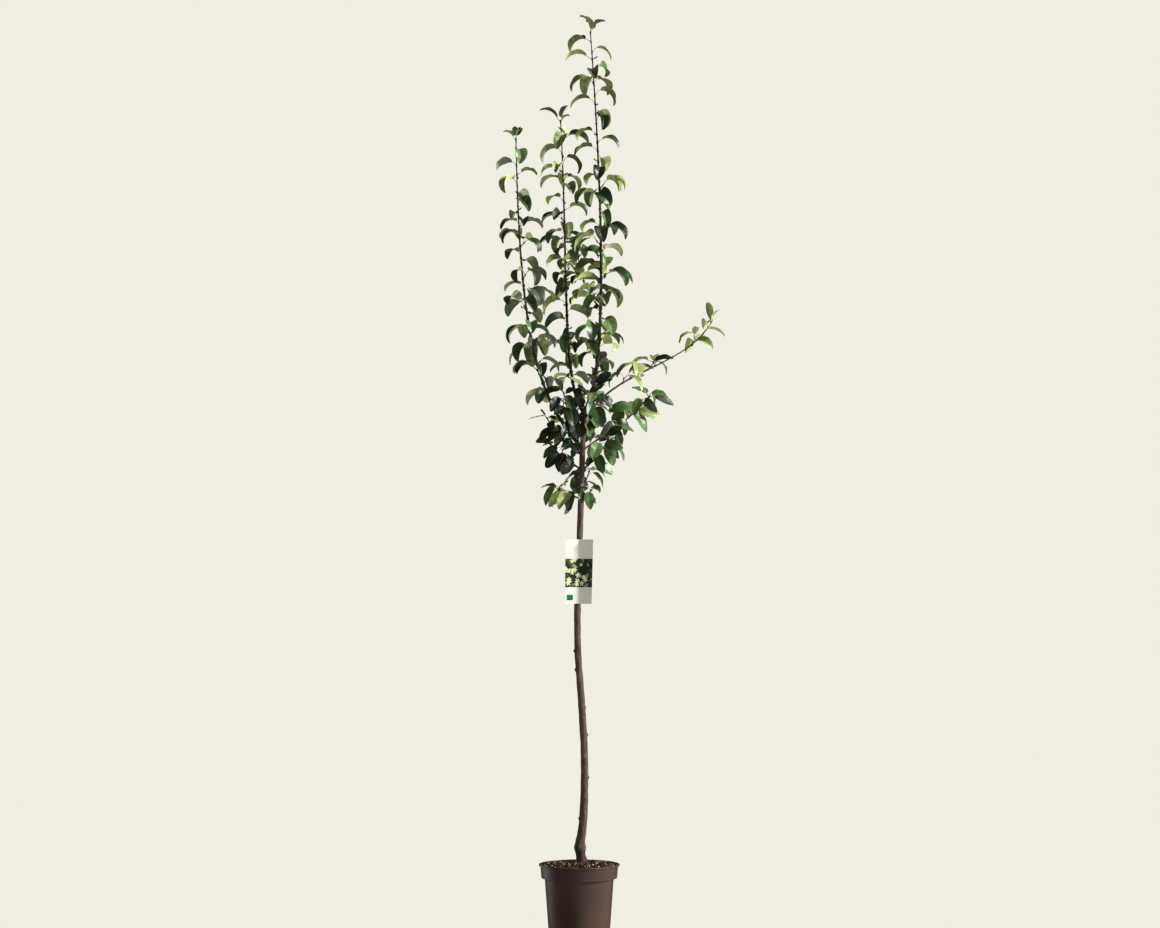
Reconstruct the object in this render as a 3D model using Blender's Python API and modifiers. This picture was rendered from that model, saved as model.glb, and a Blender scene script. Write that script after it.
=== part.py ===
"""Young pear tree in a plastic nursery pot, in metres with +Z up.

The origin is the centre of the pot's flat underside. -Y is the front.
"""

import math
import random
from dataclasses import dataclass

import bmesh
import bpy
from mathutils import Matrix, Vector
from mathutils.kdtree import KDTree

# Clearance between pieces that touch in the real thing
GAP = 0.0003

# Pot: a turned shell with a raised band under its lip
POT_HEIGHT = 0.200
POT_WALL = 0.0018
POT_FLOOR = 0.0026
POT_BASE_RADIUS = 0.0785
POT_BODY_TOP_RADIUS = 0.0898
POT_BAND_FOOT_RADIUS = 0.0988
POT_BAND_TOP_RADIUS = 0.1012
POT_LIP_RADIUS = 0.1052
POT_BAND_FOOT = 0.164
POT_LIP_DEPTH = 0.0045
POT_LIP_ROUND = 0.0010
POT_BAND_ROUND = 0.0012
POT_EDGE_ROUND = 0.006
POT_EDGE_STEPS = 3
POT_STEPS = 32
DRAIN_HOLES = 8
DRAIN_HOLE_RADIUS = 0.0055
DRAIN_HOLE_SIDES = 8
DRAIN_RING_RADIUS = 0.056

# Soil: fills the pot to just under the lip, with a low dome round the trunk
SOIL_EDGE_HEIGHT = 0.1965
SOIL_DOME_HEIGHT = 0.2030
SOIL_PLATEAU_RADIUS = 0.046
SOIL_FALL_STEPS = 4
SOIL_STEPS = 24

# Trunk, from the foot to the fork: x, y, z and radius
TRUNK_STATIONS = (
    (0.0068, 0.0150, SOIL_DOME_HEIGHT + GAP, 0.0148),
    (0.0058, 0.0150, 0.2120, 0.0134),
    (0.0034, 0.0150, 0.2240, 0.0118),
    (0.0022, 0.0150, 0.2410, 0.0152),
    (0.0024, 0.0148, 0.2530, 0.0126),
    (0.0056, 0.0145, 0.2720, 0.0111),
    (0.0092, 0.0140, 0.3020, 0.0105),
    (0.0116, 0.0132, 0.3400, 0.0102),
    (0.0138, 0.0110, 0.4100, 0.0093),
    (0.0126, 0.0080, 0.5050, 0.0090),
    (0.0062, 0.0040, 0.6150, 0.0086),
    (-0.0034, 0.0000, 0.7500, 0.0082),
    (-0.0042, -0.0020, 0.8800, 0.0080),
    (0.0018, 0.0000, 1.0600, 0.0076),
    (0.0062, 0.0010, 1.2100, 0.0071),
    (0.0124, 0.0000, 1.3860, 0.0060),
)
TRUNK_SPAN_STEPS = 2
TRUNK_LEVEL_FOOT = 0.0015
TRUNK_BEVEL = 3

# A limb is thicker where it leaves the trunk, over this length
COLLAR_LENGTH = 0.008
COLLAR_SWELL = 0.35
LIMB_STEP = 0.045
BOUGH_STEP = 0.027
LIMB_BEVEL = 1

# A shoot leaves flatter and ends steeper than its rise, by this share of it
SHOOT_BEND = 0.3
SHOOT_HANDLE = 0.35

# Leaf rule: angles in radians, shares of a blade's length
LEAF_TURN = math.radians(144)
TURN_JITTER = 0.25
BEARING_JITTER = 0.16
ROLL_JITTER = math.radians(18)
WIDTH_RANGE = (0.86, 1.10)
LEAF_WIDE_AT = 0.44
LEAF_THICKNESS_SHARE = 0.018
PETIOLE_RADIUS = 0.0008
PETIOLE_ROOT_RADIUS = 0.0004
PETIOLE_SHARE = 0.32
SIZE_RANGE = (0.82, 1.12)
TWIG_RADIUS = 0.0014
TWIG_CORNER = 1.2
SPUR_RISE = math.radians(40)
SPUR_FAN = (48, 80)
SPUR_LEAVES = (2, 3)
STEP_RANGE = (0.75, 1.25)
STEM_END = 0.6

# A leaf that doesn't fit tries other bearings and smaller sizes
LEAF_TRIES = 12
TRY_TURN = math.radians(24)
SHRINK = 0.94

# Where a blade is tested: shares of its length, each with its width there
BLADE_TESTS = ((0.22, 0.75), (0.46, 1.0), (0.72, 0.75))

# The leaves at a stem's tip stand up
TIP_LEAVES = 3
TIP_INSET = 0.003
TIP_SIZES = (0.62, 0.98)
TIP_LIFT = math.radians(52)
TIP_STALK_SHARE = 0.4
TIP_DROOP_SHARE = 0.75

# Leaves turn their faces partly towards the light, which comes from the front
LIGHT = Vector((0.30, -0.88, 0.36)).normalized()

# Space rule: how far leaves keep from limbs, from each other and from other masses
LIMB_CLEARANCE = 0.002
MASS_CLEARANCE = 0.0015
LEAF_CLEARANCE = 0.0055
MASS_REACH = 0.125
SPACE_STEP = 0.006

# Care label: a folded card on a strap round the trunk
LABEL_WIDTH = 0.076
LABEL_HEIGHT = 0.167
LABEL_THICKNESS = 0.0007
LABEL_TOP = 1.044
LABEL_FOLD = math.radians(17)
STRAP_HEIGHT = 0.012
STRAP_THICKNESS = 0.0012
STRAP_CLEARANCE = 0.00045
STRAP_DROP = 0.010
STRAP_STEPS = 16
CARD_SINK = 0.00014

# Colours of the materials
PLASTIC = (0.095, 0.063, 0.056)
EARTH = (0.070, 0.050, 0.040)
BARK = (0.120, 0.090, 0.068)
YOUNG_BARK = (0.060, 0.038, 0.028)
LEAF_GREEN = (0.050, 0.110, 0.035)
CARD = (0.640, 0.650, 0.590)
WELD_DISTANCE = 1e-5


def blend(pair, share):
    """The value a share of the way from the first of a pair to the second."""
    return pair[0] + (pair[1] - pair[0]) * share


class Path:
    """A smooth line through space, measured by the distance along it."""

    def __init__(self, points):
        self.points = points
        self.marks = [0.0]
        for before, after in zip(points, points[1:]):
            self.marks.append(self.marks[-1] + (after - before).length)
        self.length = self.marks[-1]

    def at(self, distance):
        """The point and the heading at a distance along the path."""
        number = 0
        while number < len(self.points) - 2 and self.marks[number + 1] < distance:
            number += 1
        before, after = self.points[number], self.points[number + 1]
        share = (distance - self.marks[number]) / (self.marks[number + 1] - self.marks[number])
        return before.lerp(after, share), (after - before).normalized()

    def places(self, start, end, step):
        """Even distances from start to end, both included."""
        count = max(2, round((end - start) / step))
        return [start + (end - start) * number / count for number in range(count + 1)]


def arch(start, out_of_start, into_tip, tip, steps=48):
    """A cubic curve as a path, from its four control points."""
    corners = [Vector(corner) for corner in (start, out_of_start, into_tip, tip)]
    points = []
    for number in range(steps + 1):
        t = number / steps
        row = corners
        while len(row) > 1:
            row = [first.lerp(second, t) for first, second in zip(row, row[1:])]
        points.append(row[0])
    return Path(points)


def trunk_axis(height):
    """The trunk's centre at a height."""
    for lower, upper in zip(TRUNK_STATIONS, TRUNK_STATIONS[1:]):
        if height <= upper[2]:
            break
    share = (height - lower[2]) / (upper[2] - lower[2])
    return Vector(lower[:3]).lerp(Vector(upper[:3]), share)


def rising(start, bearing, rise, length):
    """A twig that leaves a point and bends up towards the light: bearing and rise in degrees."""
    turn = math.radians(bearing)
    out = Vector((math.cos(turn), math.sin(turn), 0.0))
    low, middle, steep = [
        out * math.cos(lean) + Vector((0.0, 0.0, math.sin(lean)))
        for lean in (math.radians(rise) * (1.0 + bend) for bend in (-SHOOT_BEND, 0.0, SHOOT_BEND))
    ]
    handle = length * SHOOT_HANDLE
    tip = start + middle * length
    return arch(start, start + low * handle, tip - steep * handle, tip)


def shoot(height, bearing, rise, length):
    """A side shoot that leaves the trunk at a height."""
    return rising(trunk_axis(height), bearing, rise, length)


@dataclass(frozen=True)
class Habit:
    """How leaves are held: ranges in degrees and of spur length in metres, and shares.

    width is a blade's width as a share of its length, and face the turn towards the light.
    """

    rise: tuple
    pitch: tuple
    droop: tuple
    fold: tuple
    spur: tuple
    width: float
    face: float


# Folded, arching leaves on the leaders, broad hanging ones in the head
LEADER = Habit(rise=(28, 58), pitch=(0, 36), droop=(84, 126), fold=(30, 52),
               spur=(0.005, 0.014), width=0.52, face=0.0)
HEAD = Habit(rise=(10, 55), pitch=(-65, -5), droop=(20, 60), fold=(8, 26),
             spur=(0.006, 0.020), width=0.62, face=0.65)
LOW = Habit(rise=(-5, 40), pitch=(-70, -10), droop=(25, 80), fold=(14, 36),
            spur=(0.006, 0.016), width=0.54, face=0.4)
LATERAL = Habit(rise=(20, 70), pitch=(-10, 45), droop=(40, 110), fold=(16, 42),
                spur=(0.006, 0.018), width=0.54, face=0.2)


@dataclass
class Limb:
    """A limb of the tree and the foliage mass that it carries."""

    name: str
    path: Path
    radii: tuple
    bough: float
    seed: int
    habit: Habit = LEADER
    step: float = 0.026
    spurs: tuple = (0.6, 0.1)
    blade: tuple = (0.064, 0.052)
    spread: float = 1.0
    bare: float = 0.012
    gaps: tuple = ()
    side: tuple = ()

    def radius(self, distance):
        """The limb's radius at a distance along its path."""
        collar = 1.0 + COLLAR_SWELL * math.exp(-distance / COLLAR_LENGTH)
        return blend(self.radii, distance / self.path.length) * collar


LIMBS = (
    Limb("left_leader", arch((0.002, 0.001, 1.287), (-0.115, -0.030, 1.419),
                             (-0.154, -0.060, 1.588), (-0.163, -0.080, 2.077)),
         (0.0045, 0.0014), 0.130, seed=302, step=0.025, blade=(0.068, 0.056)),
    Limb("middle_leader", arch((0.012, 0.000, 1.374), (-0.047, 0.020, 1.438),
                               (-0.028, 0.070, 1.770), (-0.049, 0.090, 2.140)),
         (0.0043, 0.0014), 0.075, seed=165, step=0.024, blade=(0.066, 0.056)),
    Limb("right_leader", arch((0.012, 0.000, 1.378), (0.070, 0.000, 1.448),
                              (0.067, -0.030, 1.848), (0.029, -0.030, 2.358)),
         (0.0047, 0.0013), 0.065, seed=519, step=0.023, blade=(0.068, 0.060),
         side=((0.275, 150, 66, 0.170),)),
    Limb("right_lateral", arch((0.011, 0.000, 1.349), (0.085, -0.020, 1.490),
                               (0.272, -0.050, 1.484), (0.342, -0.060, 1.607)),
         (0.0032, 0.0011), 0.135, seed=368, step=0.025, spurs=(0.8, 0.55),
         blade=(0.064, 0.050), spread=0.8, habit=LATERAL,
         gaps=((0.40, 0.70),)),
    Limb("right_lower_lateral", arch((0.009, 0.000, 1.276), (0.064, 0.020, 1.318),
                                     (0.142, 0.055, 1.360), (0.184, 0.070, 1.417)),
         (0.0030, 0.0012), 0.070, seed=468, step=0.018, spurs=(0.7, 0.4),
         blade=(0.064, 0.057), spread=0.85, habit=HEAD),
    Limb("left_upper_shoot", shoot(1.263, 196, 45, 0.135), (0.0028, 0.0012), 0.0,
         seed=339, step=0.014, blade=(0.066, 0.060), spread=0.8, bare=0.024, habit=HEAD),
    Limb("left_lower_shoot", shoot(1.226, 172, 38, 0.105), (0.0026, 0.0012), 0.0,
         seed=507, step=0.014, blade=(0.062, 0.056), spread=0.75, bare=0.022, habit=HEAD),
    Limb("right_shoot", shoot(1.224, 335, 47, 0.110), (0.0026, 0.0012), 0.0,
         seed=589, step=0.014, blade=(0.063, 0.057), spread=0.75, bare=0.022, habit=HEAD),
    Limb("front_left_shoot", shoot(1.298, 234, 56, 0.150), (0.0028, 0.0012), 0.0,
         seed=329, step=0.013, blade=(0.064, 0.058), spread=0.85, bare=0.020, habit=HEAD),
    Limb("front_right_shoot", shoot(1.312, 296, 58, 0.145), (0.0028, 0.0012), 0.0,
         seed=341, step=0.013, blade=(0.064, 0.058), spread=0.85, bare=0.020, habit=HEAD),
    Limb("front_shoot", shoot(1.332, 272, 60, 0.115), (0.0028, 0.0012), 0.0,
         seed=484, step=0.010, blade=(0.064, 0.058), spread=0.9, bare=0.014, habit=HEAD),
    Limb("back_shoot", shoot(1.300, 82, 50, 0.155), (0.0028, 0.0012), 0.0,
         seed=308, step=0.014, blade=(0.064, 0.058), spread=0.8, bare=0.022, habit=HEAD),
    Limb("back_left_shoot", shoot(1.262, 132, 50, 0.115), (0.0028, 0.0012), 0.0,
         seed=553, step=0.014, blade=(0.063, 0.057), spread=0.8, bare=0.022, habit=HEAD),
    Limb("low_left_shoot", shoot(1.150, 187, 22, 0.062), (0.0024, 0.0011), 0.0,
         seed=428, step=0.012, blade=(0.060, 0.054), spread=0.7, bare=0.018, habit=LOW),
    Limb("low_right_shoot", shoot(1.150, 312, 28, 0.046), (0.0024, 0.0011), 0.0,
         seed=573, step=0.012, blade=(0.060, 0.052), spread=0.7, bare=0.014, habit=LOW),
    Limb("low_back_shoot", shoot(1.176, 70, 36, 0.075), (0.0024, 0.0011), 0.0,
         seed=599, step=0.013, blade=(0.062, 0.056), spread=0.75, bare=0.020, habit=LOW),
)


def stems(limb):
    """The leafy paths of a limb's mass, each with the distance where it begins."""
    paths = [(limb.path, limb.bough + GAP if limb.bough else 0.0)]
    for share, *course in limb.side:
        paths.append((rising(limb.path.at(limb.path.length * share)[0], *course), 0.0))
    return paths


def point_tree(points):
    """A tree that finds the nearest of some points."""
    tree = KDTree(len(points))
    for number, point in enumerate(points):
        tree.insert(point, number)
    tree.balance()
    return tree


class Spaces:
    """The wood that leaves keep clear of, and the space of each mass."""

    def __init__(self):
        wood, self.wood_radii, stem_points = [], [], {}
        for height, radius in trunk_marks():
            wood.append(trunk_axis(height))
            self.wood_radii.append(radius)
        for limb in LIMBS:
            if limb.bough:
                for distance in limb.path.places(0.0, limb.bough, SPACE_STEP):
                    wood.append(limb.path.at(distance)[0])
                    self.wood_radii.append(limb.radius(distance))
            stem_points[limb.name] = [
                path.at(distance)[0]
                for path, start in stems(limb)
                for distance in path.places(start, path.length, SPACE_STEP)
            ]
        self.wood = point_tree(wood)
        self.own, self.other = {}, {}
        for name, points in stem_points.items():
            rest = [p for other, group in stem_points.items() if other != name for p in group]
            self.own[name] = point_tree(points)
            self.other[name] = point_tree(rest)

    def holds(self, name, points):
        """Whether points lie in a mass's space and clear of the wood."""
        for point in points:
            _, number, distance = self.wood.find(point)
            if distance < self.wood_radii[number] + LIMB_CLEARANCE:
                return False
            own = self.own[name].find(point)[2]
            if own > MASS_REACH or own + MASS_CLEARANCE > self.other[name].find(point)[2]:
                return False
        return True


def trunk_marks():
    """Heights up the trunk with its radius at each."""
    marks = []
    for lower, upper in zip(TRUNK_STATIONS, TRUNK_STATIONS[1:]):
        count = math.ceil((upper[2] - lower[2]) / SPACE_STEP)
        for number in range(count):
            share = number / count
            marks.append((blend((lower[2], upper[2]), share), blend((lower[3], upper[3]), share)))
    marks.append((TRUNK_STATIONS[-1][2], TRUNK_STATIONS[-1][3]))
    return marks


@dataclass
class Leaf:
    """A leaf: a stalk from root to neck, then a blade that arches over and down."""

    root: Vector
    neck: Vector
    ahead: Vector
    above: Vector
    length: float
    half: float
    droop: float
    fold: float

    def rib(self, share):
        """The midrib's point, heading and upper side at a share of the blade."""
        angle = self.droop * share
        sweep = self.ahead * math.sin(angle) + self.above * (math.cos(angle) - 1.0)
        ahead = self.ahead * math.cos(angle) - self.above * math.sin(angle)
        above = self.above * math.cos(angle) + self.ahead * math.sin(angle)
        return self.neck + sweep * (self.length / self.droop), ahead, above

    def edges(self, share, width_share):
        """The blade's left and right edge points at a share of its length."""
        rib, ahead, above = self.rib(share)
        across = ahead.cross(above) * (self.half * width_share * math.cos(self.fold))
        lift = above * (self.half * width_share * math.sin(self.fold))
        return rib - across + lift, rib + across + lift

    def test_points(self):
        """Points of the blade that are tested against its surroundings."""
        points = [self.rib(1.0)[0]]
        for share, width_share in BLADE_TESTS:
            points.append(self.rib(share)[0])
            points.extend(self.edges(share, width_share))
        return points


def draw(dice, limits):
    """An angle in radians, drawn between two limits in degrees."""
    return math.radians(dice.uniform(*limits))


def make_leaf(dice, habit, root, bearing, size, upright):
    """One leaf drawn by the rule, at a root point and a bearing round the twig."""
    bearing += dice.gauss(0.0, BEARING_JITTER)
    out = Vector((math.cos(bearing), math.sin(bearing), 0.0))
    up = Vector((0.0, 0.0, 1.0))
    rise = draw(dice, habit.rise) + TIP_STALK_SHARE * TIP_LIFT * upright
    neck = root + (out * math.cos(rise) + up * math.sin(rise)) * size * PETIOLE_SHARE
    pitch = draw(dice, habit.pitch) + TIP_LIFT * upright
    ahead = out * math.cos(pitch) + up * math.sin(pitch)
    above = up * math.cos(pitch) - out * math.sin(pitch)
    lit = (LIGHT - ahead * LIGHT.dot(ahead)).normalized()
    above = above.lerp(lit, habit.face).normalized()
    above.rotate(Matrix.Rotation(dice.gauss(0.0, ROLL_JITTER), 3, ahead))
    droop = draw(dice, habit.droop) * (TIP_DROOP_SHARE if upright else 1.0)
    fold = draw(dice, habit.fold)
    half = size * habit.width * 0.5 * dice.uniform(*WIDTH_RANGE)
    return Leaf(root, neck, ahead, above, size, half, droop, fold)


class Growth:
    """The twigs and leaves of a limb's mass, drawn by a seeded rule."""

    def __init__(self, limb, spaces):
        self.limb, self.spaces = limb, spaces
        self.dice = random.Random(limb.seed)
        self.twigs, self.leaves, self.taken = [], [], []
        for path, start in stems(limb):
            self.grow_stem(path, start)

    def grow_stem(self, path, start):
        """A stem with leaves and spurs by turns along it, and a tuft at its tip."""
        limb, dice = self.limb, self.dice
        marks = path.places(start, path.length, LIMB_STEP)
        radius = limb.radius if path is limb.path else lambda _: TWIG_RADIUS
        self.twigs.append(([path.at(mark)[0] for mark in marks], [radius(mark) for mark in marks]))
        middle = path.at(path.length * 0.5)[1]
        outer = math.atan2(middle.y, middle.x)
        turn = dice.uniform(0.0, math.tau)
        place = start + limb.bare
        while place < path.length - limb.step * STEM_END:
            share = (place - start) / (path.length - start)
            turn = (turn + LEAF_TURN + dice.gauss(0.0, TURN_JITTER)) % math.tau
            bearing = outer + (turn - math.pi) * limb.spread
            size = blend(limb.blade, share) * dice.uniform(*SIZE_RANGE)
            if not any(low < share < high for low, high in limb.gaps):
                if dice.random() < blend(limb.spurs, share):
                    self.grow_spur(path.at(place)[0], bearing, size)
                else:
                    self.grow_leaf(path.at(place)[0], bearing, size)
            place += limb.step * dice.uniform(*STEP_RANGE)
        root = path.at(path.length - TIP_INSET)[0]
        for number in range(TIP_LEAVES):
            size = limb.blade[1] * dice.uniform(*TIP_SIZES)
            self.grow_leaf(root, turn + number * LEAF_TURN, size, upright=1.0)

    def grow_spur(self, root, bearing, size):
        """A short spur with two or three leaves at its end, if there is room for them."""
        dice = self.dice
        ahead = Vector((math.cos(bearing), math.sin(bearing), math.tan(SPUR_RISE))).normalized()
        tip = root + ahead * dice.uniform(*self.limb.habit.spur)
        if not self.spaces.holds(self.limb.name, [tip, root.lerp(tip, 0.5)]):
            return
        before = len(self.leaves)
        fan = draw(dice, SPUR_FAN)
        count = dice.choice(SPUR_LEAVES)
        for number in range(count):
            self.grow_leaf(tip, bearing + fan * (number - 0.5 * (count - 1)), size)
        if len(self.leaves) > before:
            self.twigs.append(([root, tip + ahead * TWIG_RADIUS], [TWIG_RADIUS, TWIG_RADIUS]))

    def grow_leaf(self, root, bearing, size, upright=0.0):
        """A leaf that fits, after other turns and smaller sizes are tried, or none."""
        for number in range(LEAF_TRIES):
            leaf = make_leaf(self.dice, self.limb.habit, root, bearing, size, upright)
            points = leaf.test_points()
            if self.spaces.holds(self.limb.name, points + [leaf.neck]) and self.is_free(points):
                self.leaves.append(leaf)
                self.taken.extend(points)
                return
            bearing += TRY_TURN * (number + 1) * (-1) ** number
            size *= SHRINK

    def is_free(self, points):
        """Whether points keep clear of the leaves that are there already."""
        return all((point - old).length > LEAF_CLEARANCE for point in points for old in self.taken)


def clear_scene():
    """Remove every object of the start-up scene."""
    for thing in list(bpy.data.objects):
        bpy.data.objects.remove(thing, do_unlink=True)


def new_collection(name):
    """A collection linked to the scene."""
    made = bpy.data.collections.new(name)
    bpy.context.scene.collection.children.link(made)
    return made


def new_object(name, data, collection):
    """An object with some data, in a collection."""
    made = bpy.data.objects.new(name, data)
    collection.objects.link(made)
    return made


def paint(thing, colour, roughness):
    """Give a piece its own material."""
    made = bpy.data.materials.new(thing.name)
    made.use_nodes = True
    shader = made.node_tree.nodes["Principled BSDF"]
    shader.inputs["Base Color"].default_value = (*colour, 1.0)
    shader.inputs["Roughness"].default_value = roughness
    thing.data.materials.clear()
    thing.data.materials.append(made)
    return thing


def baked(thing):
    """The mesh of an object with its modifiers or its curve bevel applied."""
    depsgraph = bpy.context.evaluated_depsgraph_get()
    return bpy.data.meshes.new_from_object(thing.evaluated_get(depsgraph))


def welded(mesh):
    """A mesh with doubled corners joined and its faces pointing out."""
    shape = bmesh.new()
    shape.from_mesh(mesh)
    bmesh.ops.remove_doubles(shape, verts=shape.verts, dist=WELD_DISTANCE)
    bmesh.ops.recalc_face_normals(shape, faces=shape.faces)
    shape.to_mesh(mesh)
    shape.free()
    return mesh


def tube(name, points, radii, bevel, workshop, profile=None):
    """A tapered tube along points, as a mesh object."""
    curve = bpy.data.curves.new(name, "CURVE")
    curve.dimensions = "3D"
    curve.use_fill_caps = True
    if profile:
        curve.bevel_mode = "OBJECT"
        curve.bevel_object = profile
    else:
        curve.bevel_depth = 1.0
        curve.bevel_resolution = bevel
    spline = curve.splines.new("POLY")
    spline.points.add(len(points) - 1)
    for corner, point, radius in zip(spline.points, points, radii):
        corner.co = (*point, 1.0)
        corner.radius = radius
    guide = new_object(name + "_curve", curve, workshop)
    made = new_object(name, welded(baked(guide)), workshop)
    made.matrix_world = guide.matrix_world
    bpy.data.objects.remove(guide, do_unlink=True)
    return made


def turned(name, profile, steps, collection):
    """A turned piece: a profile of (radius, height) pairs swept round the Z axis."""
    mesh = bpy.data.meshes.new(name)
    edges = [(number, number + 1) for number in range(len(profile) - 1)]
    mesh.from_pydata([(radius, 0.0, height) for radius, height in profile], edges, [])
    made = new_object(name, mesh, collection)
    screw = made.modifiers.new("turn", "SCREW")
    screw.steps = steps
    screw.render_steps = steps
    screw.use_merge_vertices = True
    screw.merge_threshold = WELD_DISTANCE
    return made


def boolean(thing, operation, operand=None, collection=None):
    """Cut an object by another, or join a collection's objects to it."""
    change = thing.modifiers.new(operation.lower(), "BOOLEAN")
    change.operation = operation
    change.solver = "EXACT"
    if collection:
        change.operand_type = "COLLECTION"
        change.collection = collection
    else:
        change.object = operand
    thing.data = baked(thing)
    thing.modifiers.clear()


def keep_largest_body(thing):
    """Drop loose scraps and fill sealed hollows: only the largest shell stays."""
    shape = bmesh.new()
    shape.from_mesh(thing.data)
    bmesh.ops.triangulate(shape, faces=shape.faces)
    left = set(shape.faces)
    shells = []
    while left:
        shell, edge_of = [], [left.pop()]
        while edge_of:
            face = edge_of.pop()
            shell.append(face)
            for near in {other for edge in face.edges for other in edge.link_faces}:
                if near in left:
                    left.remove(near)
                    edge_of.append(near)
        corners = [[vertex.co for vertex in face.verts] for face in shell]
        volume = sum(a.dot(b.cross(c)) / 6.0 for a, b, c in corners)
        shells.append((volume, shell))
    shells.sort(key=lambda entry: entry[0])
    scraps = [face for _, shell in shells[:-1] for face in shell]
    bmesh.ops.delete(shape, geom=scraps, context="FACES")
    shape.to_mesh(thing.data)
    shape.free()


def pot(parts, cutters):
    """The pot: a tapered body, a wider band and a small lip, with drain holes."""
    inner_base = POT_BASE_RADIUS - POT_WALL
    profile = [
        (0.0, POT_FLOOR),
        (inner_base - POT_EDGE_ROUND, POT_FLOOR),
        (inner_base, POT_FLOOR + POT_EDGE_ROUND),
        (POT_BODY_TOP_RADIUS - POT_WALL, POT_BAND_FOOT + POT_WALL),
        (POT_BAND_FOOT_RADIUS - POT_WALL, POT_BAND_FOOT + 2.0 * POT_WALL),
        (POT_BAND_TOP_RADIUS - POT_WALL, POT_HEIGHT),
        (POT_LIP_RADIUS - POT_LIP_ROUND, POT_HEIGHT),
        (POT_LIP_RADIUS, POT_HEIGHT - POT_LIP_ROUND),
        (POT_LIP_RADIUS, POT_HEIGHT - POT_LIP_DEPTH + POT_LIP_ROUND),
        (POT_BAND_TOP_RADIUS, POT_HEIGHT - POT_LIP_DEPTH),
        (POT_BAND_FOOT_RADIUS, POT_BAND_FOOT + POT_BAND_ROUND),
        (POT_BAND_FOOT_RADIUS - POT_BAND_ROUND, POT_BAND_FOOT),
        (POT_BODY_TOP_RADIUS, POT_BAND_FOOT - POT_BAND_ROUND),
        (POT_BASE_RADIUS, POT_EDGE_ROUND),
    ]
    for number in range(1, POT_EDGE_STEPS + 1):
        angle = math.pi * 0.5 * number / POT_EDGE_STEPS
        profile.append((POT_BASE_RADIUS - POT_EDGE_ROUND * (1.0 - math.cos(angle)),
                        POT_EDGE_ROUND * (1.0 - math.sin(angle))))
    profile.append((0.0, 0.0))
    made = turned("pot", profile, POT_STEPS, parts)
    for number in range(DRAIN_HOLES):
        bpy.ops.mesh.primitive_cylinder_add(vertices=DRAIN_HOLE_SIDES, radius=DRAIN_HOLE_RADIUS,
                                            depth=4.0 * POT_FLOOR)
        hole = bpy.context.object
        hole.name = f"drain_hole_{number + 1}"
        angle = math.tau * (number + 0.5) / DRAIN_HOLES
        hole.location = (DRAIN_RING_RADIUS * math.cos(angle),
                         DRAIN_RING_RADIUS * math.sin(angle), POT_FLOOR * 0.5)
        for home in list(hole.users_collection):
            home.objects.unlink(hole)
        cutters.objects.link(hole)
        hole.hide_render = True
        hole.display_type = "WIRE"
    drill = made.modifiers.new("drain_holes", "BOOLEAN")
    drill.operation = "DIFFERENCE"
    drill.operand_type = "COLLECTION"
    drill.collection = cutters
    drill.solver = "EXACT"
    return paint(made, PLASTIC, 0.45)


def soil(parts):
    """The soil: it fills the pot and rises a little to a flat place round the trunk."""
    inner_base = POT_BASE_RADIUS - POT_WALL - GAP
    foot = POT_FLOOR + GAP
    wall_share = (SOIL_EDGE_HEIGHT - POT_BAND_FOOT) / (POT_HEIGHT - POT_BAND_FOOT)
    edge = blend((POT_BAND_FOOT_RADIUS, POT_BAND_TOP_RADIUS), wall_share) - POT_WALL - GAP * 2.0
    profile = [(0.0, SOIL_DOME_HEIGHT), (SOIL_PLATEAU_RADIUS, SOIL_DOME_HEIGHT)]
    for number in range(1, SOIL_FALL_STEPS + 1):
        share = number / SOIL_FALL_STEPS
        fall = 0.5 - 0.5 * math.cos(math.pi * share)
        profile.append((blend((SOIL_PLATEAU_RADIUS, edge), share),
                        blend((SOIL_DOME_HEIGHT, SOIL_EDGE_HEIGHT), fall)))
    profile += [
        (POT_BAND_FOOT_RADIUS - POT_WALL - 2.0 * GAP, POT_BAND_FOOT + 2.0 * POT_WALL + 2.0 * GAP),
        (POT_BODY_TOP_RADIUS - POT_WALL - 2.0 * GAP, POT_BAND_FOOT + POT_WALL + 2.0 * GAP),
        (inner_base - GAP, foot + POT_EDGE_ROUND),
        (inner_base - GAP - POT_EDGE_ROUND, foot),
        (0.0, foot),
    ]
    return paint(turned("soil", profile, SOIL_STEPS, parts), EARTH, 0.95)


def trunk_line():
    """Points and radii down the middle of the trunk, smoothly through its stations."""
    ends = (TRUNK_STATIONS[0], *TRUNK_STATIONS, TRUNK_STATIONS[-1])
    line = []
    for a, b, c, d in zip(ends, ends[1:], ends[2:], ends[3:]):
        for number in range(TRUNK_SPAN_STEPS):
            t = number / TRUNK_SPAN_STEPS
            line.append([
                0.5 * (2.0 * q + (r - p) * t + (2.0 * p - 5.0 * q + 4.0 * r - s) * t ** 2
                       + (3.0 * q - p - 3.0 * r + s) * t ** 3)
                for p, q, r, s in zip(a, b, c, d)
            ])
    line.append(list(TRUNK_STATIONS[-1]))
    level = list(line[0])
    level[2] += TRUNK_LEVEL_FOOT
    line.insert(1, level)
    return [Vector(place[:3]) for place in line], [place[3] for place in line]


def trunk(parts, workshop):
    """The trunk, and a slightly fatter copy that cuts the limbs clear of it."""
    points, radii = trunk_line()
    made = tube("trunk", points, radii, TRUNK_BEVEL, workshop)
    fat_points = points[:-1] + [points[-1] + (points[-1] - points[-2]).normalized() * GAP]
    fat = tube("trunk_clearance", fat_points, [radius + GAP for radius in radii],
               TRUNK_BEVEL, workshop)
    workshop.objects.unlink(made)
    parts.objects.link(made)
    return paint(made, BARK, 0.85), fat


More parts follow.
